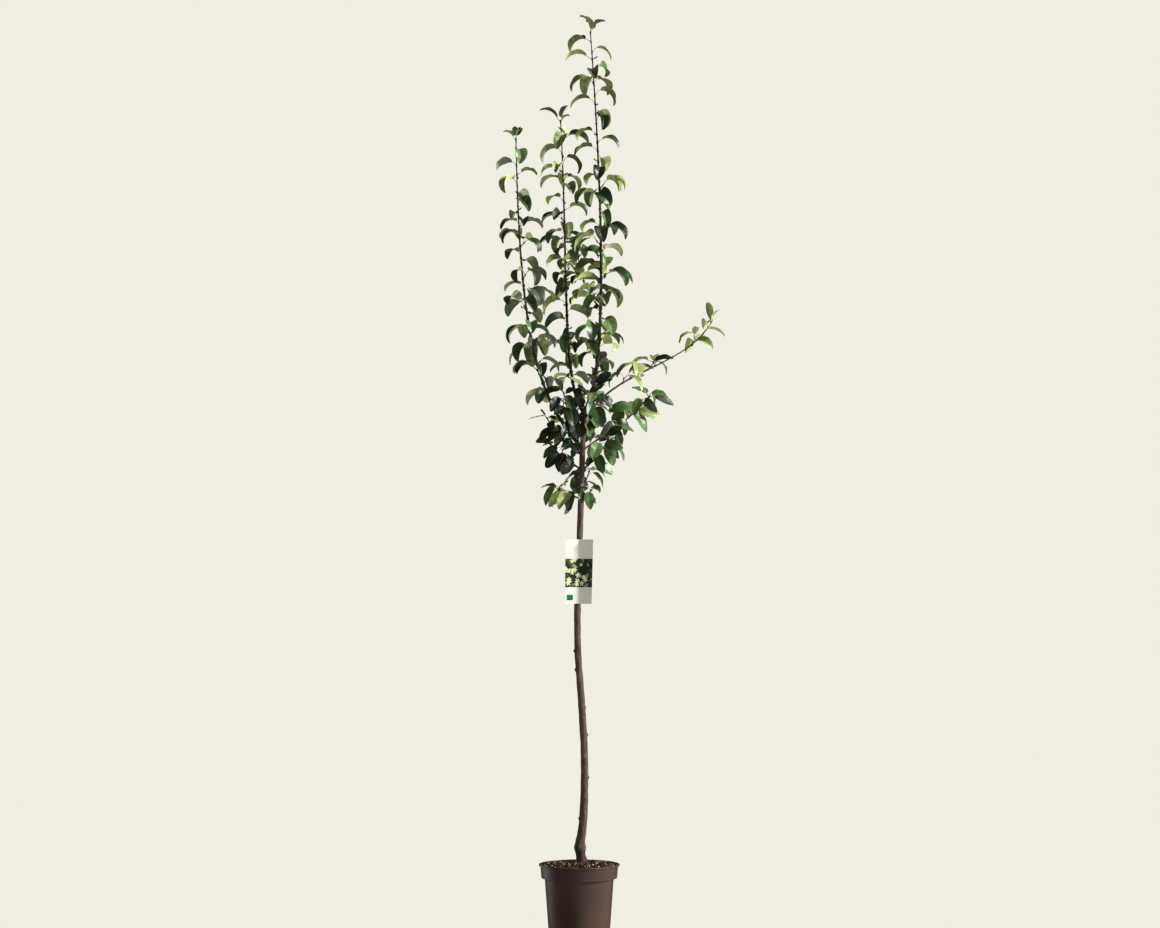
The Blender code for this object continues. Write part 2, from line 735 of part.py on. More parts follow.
def bough(limb, cutters, parts, workshop):
    """A limb's bare part, cut clear of what carries it, and its own cutter."""
    marks = limb.path.places(0.0, limb.bough, BOUGH_STEP)
    points = [limb.path.at(mark)[0] for mark in marks]
    radii = [limb.radius(mark) for mark in marks]
    made = tube(limb.name, points, radii, LIMB_BEVEL, workshop)
    for cutter in cutters:
        boolean(made, "DIFFERENCE", cutter)
    keep_largest_body(made)
    workshop.objects.unlink(made)
    parts.objects.link(made)
    fat = tube(limb.name + "_clearance", points, [radius + GAP for radius in radii],
               LIMB_BEVEL, workshop)
    return paint(made, YOUNG_BARK, 0.8), fat


def leaf_body(name, leaf, workshop):
    """A leaf as a closed loft: a three-cornered stalk, then a blade down to its point."""
    thickness = leaf.length * LEAF_THICKNESS_SHARE
    shape = bmesh.new()
    rings = []
    stalk = (leaf.neck - leaf.root).normalized()
    ends = (
        (leaf.root, stalk, PETIOLE_ROOT_RADIUS),
        (leaf.neck, (stalk + leaf.ahead).normalized(), PETIOLE_RADIUS),
    )
    for centre, ahead, radius in ends:
        across = ahead.cross(leaf.above).normalized() * radius
        lift = across.cross(ahead).normalized() * radius
        corners = (centre - across + lift * 0.5, centre + across + lift * 0.5, centre - lift)
        rings.append([shape.verts.new(corner) for corner in corners])
    rib, _, above = leaf.rib(LEAF_WIDE_AT)
    left, right = leaf.edges(LEAF_WIDE_AT, 1.0)
    left, top, right, keel = [
        shape.verts.new(corner)
        for corner in (left, rib + above * thickness * 0.5, right, rib - above * thickness * 0.5)
    ]
    tip = shape.verts.new(leaf.rib(1.0)[0])
    (root_left, root_right, root_keel), (neck_left, neck_right, neck_keel) = rings
    faces = [
        (root_left, root_right, root_keel),
        (root_left, neck_left, neck_right, root_right),
        (root_right, neck_right, neck_keel, root_keel),
        (root_keel, neck_keel, neck_left, root_left),
        (neck_left, left, top),
        (neck_left, top, neck_right),
        (neck_right, top, right),
        (neck_right, right, keel, neck_keel),
        (neck_keel, keel, left, neck_left),
        (left, tip, top),
        (top, tip, right),
        (right, tip, keel),
        (keel, tip, left),
    ]
    for corners in faces:
        shape.faces.new(corners)
    bmesh.ops.triangulate(shape, faces=shape.faces)
    bmesh.ops.recalc_face_normals(shape, faces=shape.faces)
    mesh = bpy.data.meshes.new(name)
    shape.to_mesh(mesh)
    shape.free()
    return new_object(name, mesh, workshop)


def foliage(limb, spaces, trunk_cutter, profile, parts, workshop):
    """A limb's foliage mass: stem, twigs and leaves fused into one body."""
    grown = Growth(limb, spaces)
    pieces = bpy.data.collections.new(limb.name + "_pieces")
    name = limb.name + "_foliage"
    made = tube(name, *grown.twigs[0], 0, workshop, profile)
    if not limb.bough:
        boolean(made, "DIFFERENCE", trunk_cutter)
        keep_largest_body(made)
    for number, (points, radii) in enumerate(grown.twigs[1:]):
        piece = tube(f"{name}_twig_{number}", points, radii, 0, workshop, profile)
        workshop.objects.unlink(piece)
        pieces.objects.link(piece)
    for number, leaf in enumerate(grown.leaves):
        pieces.objects.link(leaf_body(f"{name}_leaf_{number}", leaf, workshop))
    boolean(made, "UNION", collection=pieces)
    keep_largest_body(made)
    for piece in list(pieces.objects):
        bpy.data.objects.remove(piece, do_unlink=True)
    workshop.objects.unlink(made)
    parts.objects.link(made)
    return paint(made, LEAF_GREEN, 0.5)


def twig_profile(workshop):
    """A three-cornered outline of unit radius for twigs."""
    curve = bpy.data.curves.new("twig_outline", "CURVE")
    curve.dimensions = "2D"
    spline = curve.splines.new("POLY")
    spline.points.add(2)
    for number, corner in enumerate(spline.points):
        angle = math.tau * number / 3.0
        corner.co = (TWIG_CORNER * math.cos(angle), TWIG_CORNER * math.sin(angle), 0.0, 1.0)
    spline.use_cyclic_u = True
    made = new_object("twig_outline", curve, workshop)
    made.hide_render = True
    return made


def label(parts, workshop):
    """The care label: a card with a soft fold, on a strap round the trunk."""
    strap_height = LABEL_TOP - STRAP_DROP
    axis = trunk_axis(strap_height)
    heading = (trunk_axis(strap_height + STRAP_HEIGHT) - axis).normalized()
    inner = max(radius for height, radius in trunk_marks()
                if abs(height - strap_height) < STRAP_HEIGHT) + STRAP_CLEARANCE
    outer = inner + STRAP_THICKNESS
    half = STRAP_HEIGHT * 0.5
    ring = [(inner, half), (outer, half), (outer, -half), (inner, -half), (inner, half)]
    made = turned("label", ring, STRAP_STEPS, parts)
    made.data = welded(baked(made))
    made.modifiers.clear()
    turn = Vector((0.0, 0.0, 1.0)).rotation_difference(heading).to_matrix().to_4x4()
    made.data.transform(Matrix.Translation(axis) @ turn)
    reach = LABEL_WIDTH * 0.5
    fold_y = axis.y - outer - CARD_SINK
    edge_y = fold_y - reach * math.sin(LABEL_FOLD)
    edge_x = reach * math.cos(LABEL_FOLD)
    columns = ((-edge_x, edge_y), (0.0, fold_y), (edge_x, edge_y))
    corners = [(x, y, z) for z in (LABEL_TOP, LABEL_TOP - LABEL_HEIGHT) for x, y in columns]
    mesh = bpy.data.meshes.new("card")
    mesh.from_pydata(corners, [], [(0, 3, 4, 1), (1, 4, 5, 2)])
    card = new_object("card", mesh, workshop)
    shell = card.modifiers.new("thickness", "SOLIDIFY")
    shell.thickness = LABEL_THICKNESS
    shell.offset = 0.0
    boolean(made, "UNION", card)
    bpy.data.objects.remove(card, do_unlink=True)
    keep_largest_body(made)
    return paint(made, CARD, 0.4)


def build():
    """Make every piece of the potted tree."""
    clear_scene()
    parts = new_collection("potted_pear_tree")
    cutters = new_collection("cutters")
    workshop = new_collection("workshop")
    pot(parts, cutters)
    soil(parts)
    _, trunk_cutter = trunk(parts, workshop)
    bough_cutters = {}
    for limb in LIMBS:
        if limb.bough:
            neighbours = [trunk_cutter]
            if limb.name == "right_leader":
                neighbours.append(bough_cutters["middle_leader"])
            bough_cutters[limb.name] = bough(limb, neighbours, parts, workshop)[1]
    spaces = Spaces()
    profile = twig_profile(workshop)
    for limb in LIMBS:
        foliage(limb, spaces, trunk_cutter, profile, parts, workshop)
    label(parts, workshop)
    for leftover in list(workshop.objects):
        bpy.data.objects.remove(leftover, do_unlink=True)


if __name__ == "__main__":
    build()
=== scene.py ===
import random
from dataclasses import dataclass
from math import atan2, ceil, cos, exp, hypot, pi, radians, sin, sqrt, tan, tau

import bpy
from mathutils import Matrix, Vector, noise
from mathutils.kdtree import KDTree


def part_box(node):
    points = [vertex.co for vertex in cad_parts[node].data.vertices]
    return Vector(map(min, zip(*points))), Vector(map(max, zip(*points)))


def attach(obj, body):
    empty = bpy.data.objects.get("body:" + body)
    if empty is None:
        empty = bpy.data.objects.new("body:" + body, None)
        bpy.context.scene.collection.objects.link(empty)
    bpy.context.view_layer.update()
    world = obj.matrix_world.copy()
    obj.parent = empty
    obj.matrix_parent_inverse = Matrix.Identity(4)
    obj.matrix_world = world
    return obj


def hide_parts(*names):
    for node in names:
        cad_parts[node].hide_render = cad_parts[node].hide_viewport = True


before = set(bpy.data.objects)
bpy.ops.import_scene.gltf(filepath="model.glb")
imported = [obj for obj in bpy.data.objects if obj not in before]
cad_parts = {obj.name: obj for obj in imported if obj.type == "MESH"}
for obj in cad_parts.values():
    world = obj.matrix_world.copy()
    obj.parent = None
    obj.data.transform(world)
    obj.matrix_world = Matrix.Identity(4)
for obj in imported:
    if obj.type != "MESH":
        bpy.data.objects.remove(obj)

# Sizes and the growth rule, as the solids have them

# Clearance between pieces that touch in the real thing
GAP = 0.0003
UP = Vector((0.0, 0.0, 1.0))

# Pot: a turned shell with a raised band under its lip
POT_HEIGHT = 0.200
POT_WALL = 0.0018
POT_FLOOR = 0.0026
POT_BASE_RADIUS = 0.0785
POT_BODY_TOP_RADIUS = 0.0898
POT_BAND_FOOT_RADIUS = 0.0988
POT_BAND_TOP_RADIUS = 0.1012
POT_LIP_RADIUS = 0.1052
POT_BAND_FOOT = 0.164
POT_LIP_DEPTH = 0.0045
POT_EDGE_ROUND = 0.006
DRAIN_HOLES = 8
DRAIN_HOLE_RADIUS = 0.0055
DRAIN_RING_RADIUS = 0.056

# Soil: fills the pot to just under the lip, with a low dome round the trunk
SOIL_EDGE_HEIGHT = 0.1965
SOIL_DOME_HEIGHT = 0.2030
SOIL_PLATEAU_RADIUS = 0.046

# Trunk, from the foot to the fork: x, y, z and radius
TRUNK_STATIONS = (
    (0.0068, 0.0150, SOIL_DOME_HEIGHT + GAP, 0.0148),
    (0.0058, 0.0150, 0.2120, 0.0134),
    (0.0034, 0.0150, 0.2240, 0.0118),
    (0.0022, 0.0150, 0.2410, 0.0152),
    (0.0024, 0.0148, 0.2530, 0.0126),
    (0.0056, 0.0145, 0.2720, 0.0111),
    (0.0092, 0.0140, 0.3020, 0.0105),
    (0.0116, 0.0132, 0.3400, 0.0102),
    (0.0138, 0.0110, 0.4100, 0.0093),
    (0.0126, 0.0080, 0.5050, 0.0090),
    (0.0062, 0.0040, 0.6150, 0.0086),
    (-0.0034, 0.0000, 0.7500, 0.0082),
    (-0.0042, -0.0020, 0.8800, 0.0080),
    (0.0018, 0.0000, 1.0600, 0.0076),
    (0.0062, 0.0010, 1.2100, 0.0071),
    (0.0124, 0.0000, 1.3860, 0.0060),
)
TRUNK_SPAN_STEPS = 6
TRUNK_LEVEL_FOOT = 0.0015

# A limb is thicker where it leaves the trunk, over this length
COLLAR_LENGTH = 0.008
COLLAR_SWELL = 0.35

# A shoot leaves flatter and ends steeper than its rise, by this share of it
SHOOT_BEND = 0.3
SHOOT_HANDLE = 0.35

# Leaf rule: angles in radians, shares of a blade's length
LEAF_TURN = radians(144)
TURN_JITTER = 0.25
BEARING_JITTER = 0.16
ROLL_JITTER = radians(18)
WIDTH_RANGE = (0.86, 1.10)
PETIOLE_SHARE = 0.32
SIZE_RANGE = (0.82, 1.12)
TWIG_RADIUS = 0.0014
SPUR_RISE = radians(40)
SPUR_FAN = (48, 80)
SPUR_LEAVES = (2, 3)
STEP_RANGE = (0.75, 1.25)
STEM_END = 0.6

# A leaf that doesn't fit tries other bearings and smaller sizes
LEAF_TRIES = 12
TRY_TURN = radians(24)
SHRINK = 0.94

# Where a blade is tested: shares of its length, each with its width there
BLADE_TESTS = ((0.22, 0.75), (0.46, 1.0), (0.72, 0.75))

# The leaves at a stem's tip stand up
TIP_LEAVES = 3
TIP_INSET = 0.003
TIP_SIZES = (0.62, 0.98)
TIP_LIFT = radians(52)
TIP_STALK_SHARE = 0.4
TIP_DROOP_SHARE = 0.75

# Leaves turn their faces partly towards the light, which comes from the front
LIGHT = Vector((0.30, -0.88, 0.36)).normalized()

# Space rule: how far leaves keep from limbs, from each other and from other masses
LIMB_CLEARANCE = 0.002
MASS_CLEARANCE = 0.0015
LEAF_CLEARANCE = 0.0055
MASS_REACH = 0.125
SPACE_STEP = 0.006

# Care label: a folded card on a strap round the trunk
LABEL_HEIGHT = 0.167
LABEL_THICKNESS = 0.0007
LABEL_TOP = 1.044
LABEL_FOLD = radians(17)
STRAP_HEIGHT = 0.012
STRAP_THICKNESS = 0.0012
STRAP_DROP = 0.010


def blend(pair, share):
    """The value a share of the way from the first of a pair to the second."""
    return pair[0] + (pair[1] - pair[0]) * share


def outward(bearing, rise=0.0):
    """The way out from an upright axis at a bearing, with a rise for each metre outwards."""
    return Vector((cos(bearing), sin(bearing), rise))


def raised(out, angle):
    """A level direction turned up by an angle."""
    return out * cos(angle) + UP * sin(angle)


class Path:
    """A smooth line through space, measured by the distance along it."""

    def __init__(self, points):
        self.points = points
        self.marks = [0.0]
        for before, after in zip(points, points[1:]):
            self.marks.append(self.marks[-1] + (after - before).length)
        self.length = self.marks[-1]

    def at(self, distance):
        """The point and the heading at a distance along the path."""
        number = 0
        while number < len(self.points) - 2 and self.marks[number + 1] < distance:
            number += 1
        before, after = self.points[number], self.points[number + 1]
        share = (distance - self.marks[number]) / (self.marks[number + 1] - self.marks[number])
        return before.lerp(after, share), (after - before).normalized()

    def places(self, start, end, step):
        """Even distances from start to end, both included."""
        count = max(2, round((end - start) / step))
        return [start + (end - start) * number / count for number in range(count + 1)]


def arch(start, out_of_start, into_tip, tip, steps=48):
    """A cubic curve as a path, from its four control points."""
    corners = [Vector(corner) for corner in (start, out_of_start, into_tip, tip)]
    points = []
    for number in range(steps + 1):
        t = number / steps
        row = corners
        while len(row) > 1:
            row = [first.lerp(second, t) for first, second in zip(row, row[1:])]
        points.append(row[0])
    return Path(points)


def trunk_axis(height):
    """The trunk's centre at a height."""
    for lower, upper in zip(TRUNK_STATIONS, TRUNK_STATIONS[1:]):
        if height <= upper[2]:
            break
    share = (height - lower[2]) / (upper[2] - lower[2])
    return Vector(lower[:3]).lerp(Vector(upper[:3]), share)


def rising(start, bearing, rise, length):
    """A twig that leaves a point and bends up towards the light: bearing and rise in degrees."""
    out = outward(radians(bearing))
    low, middle, steep = [
        raised(out, radians(rise) * (1.0 + bend)) for bend in (-SHOOT_BEND, 0.0, SHOOT_BEND)
    ]
    handle = length * SHOOT_HANDLE
    tip = start + middle * length
    return arch(start, start + low * handle, tip - steep * handle, tip)


def shoot(height, bearing, rise, length):
    """A side shoot that leaves the trunk at a height."""
    return rising(trunk_axis(height), bearing, rise, length)


@dataclass(frozen=True)
class Habit:
    """How leaves are held: ranges in degrees and of spur length in metres, and shares.

    width is a blade's width as a share of its length, and face the turn towards the light.
    """

    rise: tuple
    pitch: tuple
    droop: tuple
    fold: tuple
    spur: tuple
    width: float
    face: float


# Folded, arching leaves on the leaders, broad hanging ones in the head
LEADER = Habit(rise=(28, 58), pitch=(0, 36), droop=(84, 126), fold=(30, 52),
               spur=(0.005, 0.014), width=0.52, face=0.0)
HEAD = Habit(rise=(10, 55), pitch=(-65, -5), droop=(20, 60), fold=(8, 26),
             spur=(0.006, 0.020), width=0.62, face=0.65)
LOW = Habit(rise=(-5, 40), pitch=(-70, -10), droop=(25, 80), fold=(14, 36),
            spur=(0.006, 0.016), width=0.54, face=0.4)
LATERAL = Habit(rise=(20, 70), pitch=(-10, 45), droop=(40, 110), fold=(16, 42),
                spur=(0.006, 0.018), width=0.54, face=0.2)


@dataclass
class Limb:
    """A limb of the tree and the foliage mass that it carries."""

    name: str
    path: Path
    radii: tuple
    bough: float
    seed: int
    habit: Habit = LEADER
    step: float = 0.026
    spurs: tuple = (0.6, 0.1)
    blade: tuple = (0.064, 0.052)
    spread: float = 1.0
    bare: float = 0.012
    gaps: tuple = ()
    side: tuple = ()

    def radius(self, distance):
        """The limb's radius at a distance along its path."""
        collar = 1.0 + COLLAR_SWELL * exp(-distance / COLLAR_LENGTH)
        return blend(self.radii, distance / self.path.length) * collar


BOUGHS = (
    Limb("left_leader", arch((0.002, 0.001, 1.287), (-0.115, -0.030, 1.419),
                             (-0.154, -0.060, 1.588), (-0.163, -0.080, 2.077)),
         (0.0045, 0.0014), 0.130, seed=302, step=0.025, blade=(0.068, 0.056)),
    Limb("middle_leader", arch((0.012, 0.000, 1.374), (-0.047, 0.020, 1.438),
                               (-0.028, 0.070, 1.770), (-0.049, 0.090, 2.140)),
         (0.0043, 0.0014), 0.075, seed=165, step=0.024, blade=(0.066, 0.056)),
    Limb("right_leader", arch((0.012, 0.000, 1.378), (0.070, 0.000, 1.448),
                              (0.067, -0.030, 1.848), (0.029, -0.030, 2.358)),
         (0.0047, 0.0013), 0.065, seed=519, step=0.023, blade=(0.068, 0.060),
         side=((0.275, 150, 66, 0.170),)),
    Limb("right_lateral", arch((0.011, 0.000, 1.349), (0.085, -0.020, 1.490),
                               (0.272, -0.050, 1.484), (0.342, -0.060, 1.607)),
         (0.0032, 0.0011), 0.135, seed=368, step=0.025, spurs=(0.8, 0.55),
         blade=(0.064, 0.050), spread=0.8, habit=LATERAL,
         gaps=((0.40, 0.70),)),
    Limb("right_lower_lateral", arch((0.009, 0.000, 1.276), (0.064, 0.020, 1.318),
                                     (0.142, 0.055, 1.360), (0.184, 0.070, 1.417)),
         (0.0030, 0.0012), 0.070, seed=468, step=0.018, spurs=(0.7, 0.4),
         blade=(0.064, 0.057), spread=0.85, habit=HEAD),
)

# Short shoots from the trunk: habit and name, height, bearing, rise and length, then the radius
# at the foot, seed, step between leaves, blades at foot and tip, spread and bare foot
SHOOTS = (
    (HEAD, "left_upper", (1.263, 196, 45, 0.135), 0.0028, 339, 0.014, (0.066, 0.060), 0.8, 0.024),
    (HEAD, "left_lower", (1.226, 172, 38, 0.105), 0.0026, 507, 0.014, (0.062, 0.056), 0.75, 0.022),
    (HEAD, "right", (1.224, 335, 47, 0.110), 0.0026, 589, 0.014, (0.063, 0.057), 0.75, 0.022),
    (HEAD, "front_left", (1.298, 234, 56, 0.150), 0.0028, 329, 0.013, (0.064, 0.058), 0.85, 0.020),
    (HEAD, "front_right", (1.312, 296, 58, 0.145), 0.0028, 341, 0.013, (0.064, 0.058), 0.85, 0.020),
    (HEAD, "front", (1.332, 272, 60, 0.115), 0.0028, 484, 0.010, (0.064, 0.058), 0.9, 0.014),
    (HEAD, "back", (1.300, 82, 50, 0.155), 0.0028, 308, 0.014, (0.064, 0.058), 0.8, 0.022),
    (HEAD, "back_left", (1.262, 132, 50, 0.115), 0.0028, 553, 0.014, (0.063, 0.057), 0.8, 0.022),
    (LOW, "low_left", (1.150, 187, 22, 0.062), 0.0024, 428, 0.012, (0.060, 0.054), 0.7, 0.018),
    (LOW, "low_right", (1.150, 312, 28, 0.046), 0.0024, 573, 0.012, (0.060, 0.052), 0.7, 0.014),
    (LOW, "low_back", (1.176, 70, 36, 0.075), 0.0024, 599, 0.013, (0.062, 0.056), 0.75, 0.020),
)
SHOOT_TIPS = {HEAD: 0.0012, LOW: 0.0011}

LIMBS = BOUGHS + tuple(
    Limb(name + "_shoot", shoot(*course), (radius, SHOOT_TIPS[habit]), 0.0, seed, habit, step,
         blade=blade, spread=spread, bare=bare)
    for habit, name, course, radius, seed, step, blade, spread, bare in SHOOTS
)


def stems(limb):
    """The leafy paths of a limb's mass, each with the distance where it begins."""
    paths = [(limb.path, limb.bough + GAP if limb.bough else 0.0)]
    for share, *course in limb.side:
        paths.append((rising(limb.path.at(limb.path.length * share)[0], *course), 0.0))
    return paths


def point_tree(points):
    """A tree that finds the nearest of some points."""
    tree = KDTree(len(points))
    for number, point in enumerate(points):
        tree.insert(point, number)
    tree.balance()
    return tree


class Spaces:
    """The wood that leaves keep clear of, and the space of each mass."""

    def __init__(self):
        wood, self.wood_radii, stem_points = [], [], {}
        for height, radius in trunk_marks():
            wood.append(trunk_axis(height))
            self.wood_radii.append(radius)
        for limb in LIMBS:
            if limb.bough:
                for distance in limb.path.places(0.0, limb.bough, SPACE_STEP):
                    wood.append(limb.path.at(distance)[0])
                    self.wood_radii.append(limb.radius(distance))
            stem_points[limb.name] = [
                path.at(distance)[0]
                for path, start in stems(limb)
                for distance in path.places(start, path.length, SPACE_STEP)
            ]
        self.wood = point_tree(wood)
        self.own, self.other = {}, {}
        for name, points in stem_points.items():
            rest = [p for other, group in stem_points.items() if other != name for p in group]
            self.own[name] = point_tree(points)
            self.other[name] = point_tree(rest)

    def holds(self, name, points):
        """Whether points lie in a mass's space and clear of the wood."""
        for point in points:
            _, number, distance = self.wood.find(point)
            if distance < self.wood_radii[number] + LIMB_CLEARANCE:
                return False
            own = self.own[name].find(point)[2]
            if own > MASS_REACH or own + MASS_CLEARANCE > self.other[name].find(point)[2]:
                return False
        return True


def trunk_marks():
    """Heights up the trunk with its radius at each."""
    marks = []
    for lower, upper in zip(TRUNK_STATIONS, TRUNK_STATIONS[1:]):
        count = ceil((upper[2] - lower[2]) / SPACE_STEP)
        for number in range(count):
            share = number / count
            marks.append((blend((lower[2], upper[2]), share), blend((lower[3], upper[3]), share)))
    marks.append((TRUNK_STATIONS[-1][2], TRUNK_STATIONS[-1][3]))
    return marks


@dataclass
class Leaf:
    """A leaf: a stalk from root to neck, then a blade that arches over and down."""

    root: Vector
    neck: Vector
    ahead: Vector
    above: Vector
    length: float
    half: float
    droop: float
    fold: float

    def rib(self, share):
        """The midrib's point, heading and upper side at a share of the blade."""
        angle = self.droop * share
        sweep = self.ahead * sin(angle) + self.above * (cos(angle) - 1.0)
        ahead = self.ahead * cos(angle) - self.above * sin(angle)
        above = self.above * cos(angle) + self.ahead * sin(angle)
        return self.neck + sweep * (self.length / self.droop), ahead, above

    def edges(self, share, width_share):
        """The blade's left and right edge points at a share of its length."""
        rib, ahead, above = self.rib(share)
        across = ahead.cross(above) * (self.half * width_share * cos(self.fold))
        lift = above * (self.half * width_share * sin(self.fold))
        return rib - across + lift, rib + across + lift

    def test_points(self):
        """Points of the blade that are tested against its surroundings."""
        points = [self.rib(1.0)[0]]
        for share, width_share in BLADE_TESTS:
            points.append(self.rib(share)[0])
            points.extend(self.edges(share, width_share))
        return points


def draw(dice, limits):
    """An angle in radians, drawn between two limits in degrees."""
    return radians(dice.uniform(*limits))


def make_leaf(dice, habit, root, bearing, size, upright):
    """One leaf drawn by the rule, at a root point and a bearing round the twig."""
    bearing += dice.gauss(0.0, BEARING_JITTER)
    out = outward(bearing)
    rise = draw(dice, habit.rise) + TIP_STALK_SHARE * TIP_LIFT * upright
    neck = root + raised(out, rise) * size * PETIOLE_SHARE
    pitch = draw(dice, habit.pitch) + TIP_LIFT * upright
    ahead = raised(out, pitch)
    above = UP * cos(pitch) - out * sin(pitch)
    lit = (LIGHT - ahead * LIGHT.dot(ahead)).normalized()
    above = above.lerp(lit, habit.face).normalized()
    above.rotate(Matrix.Rotation(dice.gauss(0.0, ROLL_JITTER), 3, ahead))
    droop = draw(dice, habit.droop) * (TIP_DROOP_SHARE if upright else 1.0)
    fold = draw(dice, habit.fold)
    half = size * habit.width * 0.5 * dice.uniform(*WIDTH_RANGE)
    return Leaf(root, neck, ahead, above, size, half, droop, fold)


class Growth:
    """The spurs and leaves of a limb's mass, drawn by a seeded rule."""

    def __init__(self, limb, spaces):
        self.limb, self.spaces = limb, spaces
        self.dice = random.Random(limb.seed)
        self.spurs, self.leaves, self.taken = [], [], []
        for path, start in stems(limb):
            self.grow_stem(path, start)

    def grow_stem(self, path, start):
        """Leaves and spurs by turns along a stem, and a tuft at its tip."""
        limb, dice = self.limb, self.dice
        middle = path.at(path.length * 0.5)[1]
        outer = atan2(middle.y, middle.x)
        turn = dice.uniform(0.0, tau)
        place = start + limb.bare
        while place < path.length - limb.step * STEM_END:
            share = (place - start) / (path.length - start)
            turn = (turn + LEAF_TURN + dice.gauss(0.0, TURN_JITTER)) % tau
            bearing = outer + (turn - pi) * limb.spread
            size = blend(limb.blade, share) * dice.uniform(*SIZE_RANGE)
            if not any(low < share < high for low, high in limb.gaps):
                spurred = dice.random() < blend(limb.spurs, share)
                grow = self.grow_spur if spurred else self.grow_leaf
                grow(path.at(place)[0], bearing, size)
            place += limb.step * dice.uniform(*STEP_RANGE)
        root = path.at(path.length - TIP_INSET)[0]
        for number in range(TIP_LEAVES):
            size = limb.blade[1] * dice.uniform(*TIP_SIZES)
            self.grow_leaf(root, turn + number * LEAF_TURN, size, upright=1.0)

    def grow_spur(self, root, bearing, size):
        """A short spur with two or three leaves at its end, if there is room for them."""
        dice = self.dice
        ahead = outward(bearing, tan(SPUR_RISE)).normalized()
        tip = root + ahead * dice.uniform(*self.limb.habit.spur)
        if not self.spaces.holds(self.limb.name, [tip, root.lerp(tip, 0.5)]):
            return
        before = len(self.leaves)
        fan = draw(dice, SPUR_FAN)
        count = dice.choice(SPUR_LEAVES)
        for number in range(count):
            self.grow_leaf(tip, bearing + fan * (number - 0.5 * (count - 1)), size)
        if len(self.leaves) > before:
            self.spurs.append((root, tip + ahead * TWIG_RADIUS))

    def grow_leaf(self, root, bearing, size, upright=0.0):
        """A leaf that fits, after other turns and smaller sizes are tried, or none."""
        for number in range(LEAF_TRIES):
            leaf = make_leaf(self.dice, self.limb.habit, root, bearing, size, upright)
            points = leaf.test_points()
            if self.spaces.holds(self.limb.name, points + [leaf.neck]) and self.is_free(points):
                self.leaves.append(leaf)
                self.taken.extend(points)
                return
            bearing += TRY_TURN * (number + 1) * (-1) ** number
            size *= SHRINK

    def is_free(self, points):
        """Whether points keep clear of the leaves that are there already."""
        return all((point - old).length > LEAF_CLEARANCE for point in points for old in self.taken)


def trunk_line():
    """Points and radii down the middle of the trunk, smoothly through its stations."""
    ends = (TRUNK_STATIONS[0], *TRUNK_STATIONS, TRUNK_STATIONS[-1])
    line = []
    for a, b, c, d in zip(ends, ends[1:], ends[2:], ends[3:]):
        for number in range(TRUNK_SPAN_STEPS):
            t = number / TRUNK_SPAN_STEPS
            line.append([
                0.5 * (2.0 * q + (r - p) * t + (2.0 * p - 5.0 * q + 4.0 * r - s) * t ** 2
                       + (3.0 * q - p - 3.0 * r + s) * t ** 3)
                for p, q, r, s in zip(a, b, c, d)
            ])
    line.append(list(TRUNK_STATIONS[-1]))
    level = list(line[0])
    level[2] += TRUNK_LEVEL_FOOT
    line.insert(1, level)
    return [Vector(place[:3]) for place in line], [place[3] for place in line]


# Studio: the backdrop's colour, and the shares of it that light the plant and shine on it
BACKDROP = (0.880, 0.855, 0.768)
AMBIENT = 0.125
SHINE = 0.12
FLOOR_SIZE = 120.0
FLOOR_DEPTH = 0.0005
# Suns: where their light comes from, strength, and softness in degrees
SUNS = (
    ("key", (0.96, -0.18, 0.44), 7.2, 12.0),
    ("front_fill", (0.40, -0.85, 0.30), 0.22, 60.0),
    ("bounce", (0.50, -0.12, -0.90), 1.7, 110.0),
    ("rim", (-0.30, 0.88, 0.36), 2.2, 40.0),
    ("sheen", (0.88, -0.30, 0.44), 6.0, 30.0),
)
# Suns that are seen only as a shine on the leaves, and those that give no shine
SHINE_ONLY = ("sheen",)
NO_SHINE = ("key", "rim")
# Small lamps: place, the point they face, size in metres, power
LAMPS = (
    ("card_lamp", (-0.45, -0.90, 0.94), (0.0, 0.0, 0.96), 0.3, 2.2),
    ("pot_lamp", (-0.58, 0.20, 0.12), (0.0, 0.0, 0.10), 0.45, 1.15),
)
CAMERA_PLACE = (0.002, -9.0, 1.24)
CAMERA_LENS = 107.4
CAMERA_SENSOR = 36.0

# Fine leaves: rows along a blade, and corners across it with the midrib's strip in the middle
LEAF_STATIONS = 34
LEAF_REACHES = (-1.0, -0.8, -0.55, -0.28, -0.045, 0.045, 0.28, 0.55, 0.8, 1.0)
LEFT_HALF, MIDRIB, RIGHT_HALF = slice(0, 5), slice(4, 6), slice(5, 10)
LEAF_SKIN = 0.0003
MIDRIB_DEPTH = 0.0005
MIDRIB_REACH = 0.25
VEIN_PAIRS = 7
VEIN_SLANT = 1.6
VEIN_RELIEF = 0.0017
MARGIN_WAVE = 0.0007
MARGIN_EDGE = radians(70)
WAVE_RANGE = (1.5, 3.0)
FLARE_RANGE = (0.0, 0.5)
TWIST_RANGE = radians(16)
# Half a blade's width: its scale, and its powers from the base and from the tip
BLADE_OUTLINE = (2.349, 0.52, 0.74)

# Stalks: the taper is times the radius, and the other values are shares of length
STALK_RADIUS = 0.00055
STALK_TAPER = (1.5, 0.9)
STALK_RISE = 0.25
STALK_HANDLES = (0.4, 0.35)
STALK_END = 0.03
STALK_STEPS = 8
STALK_SIDES = 6

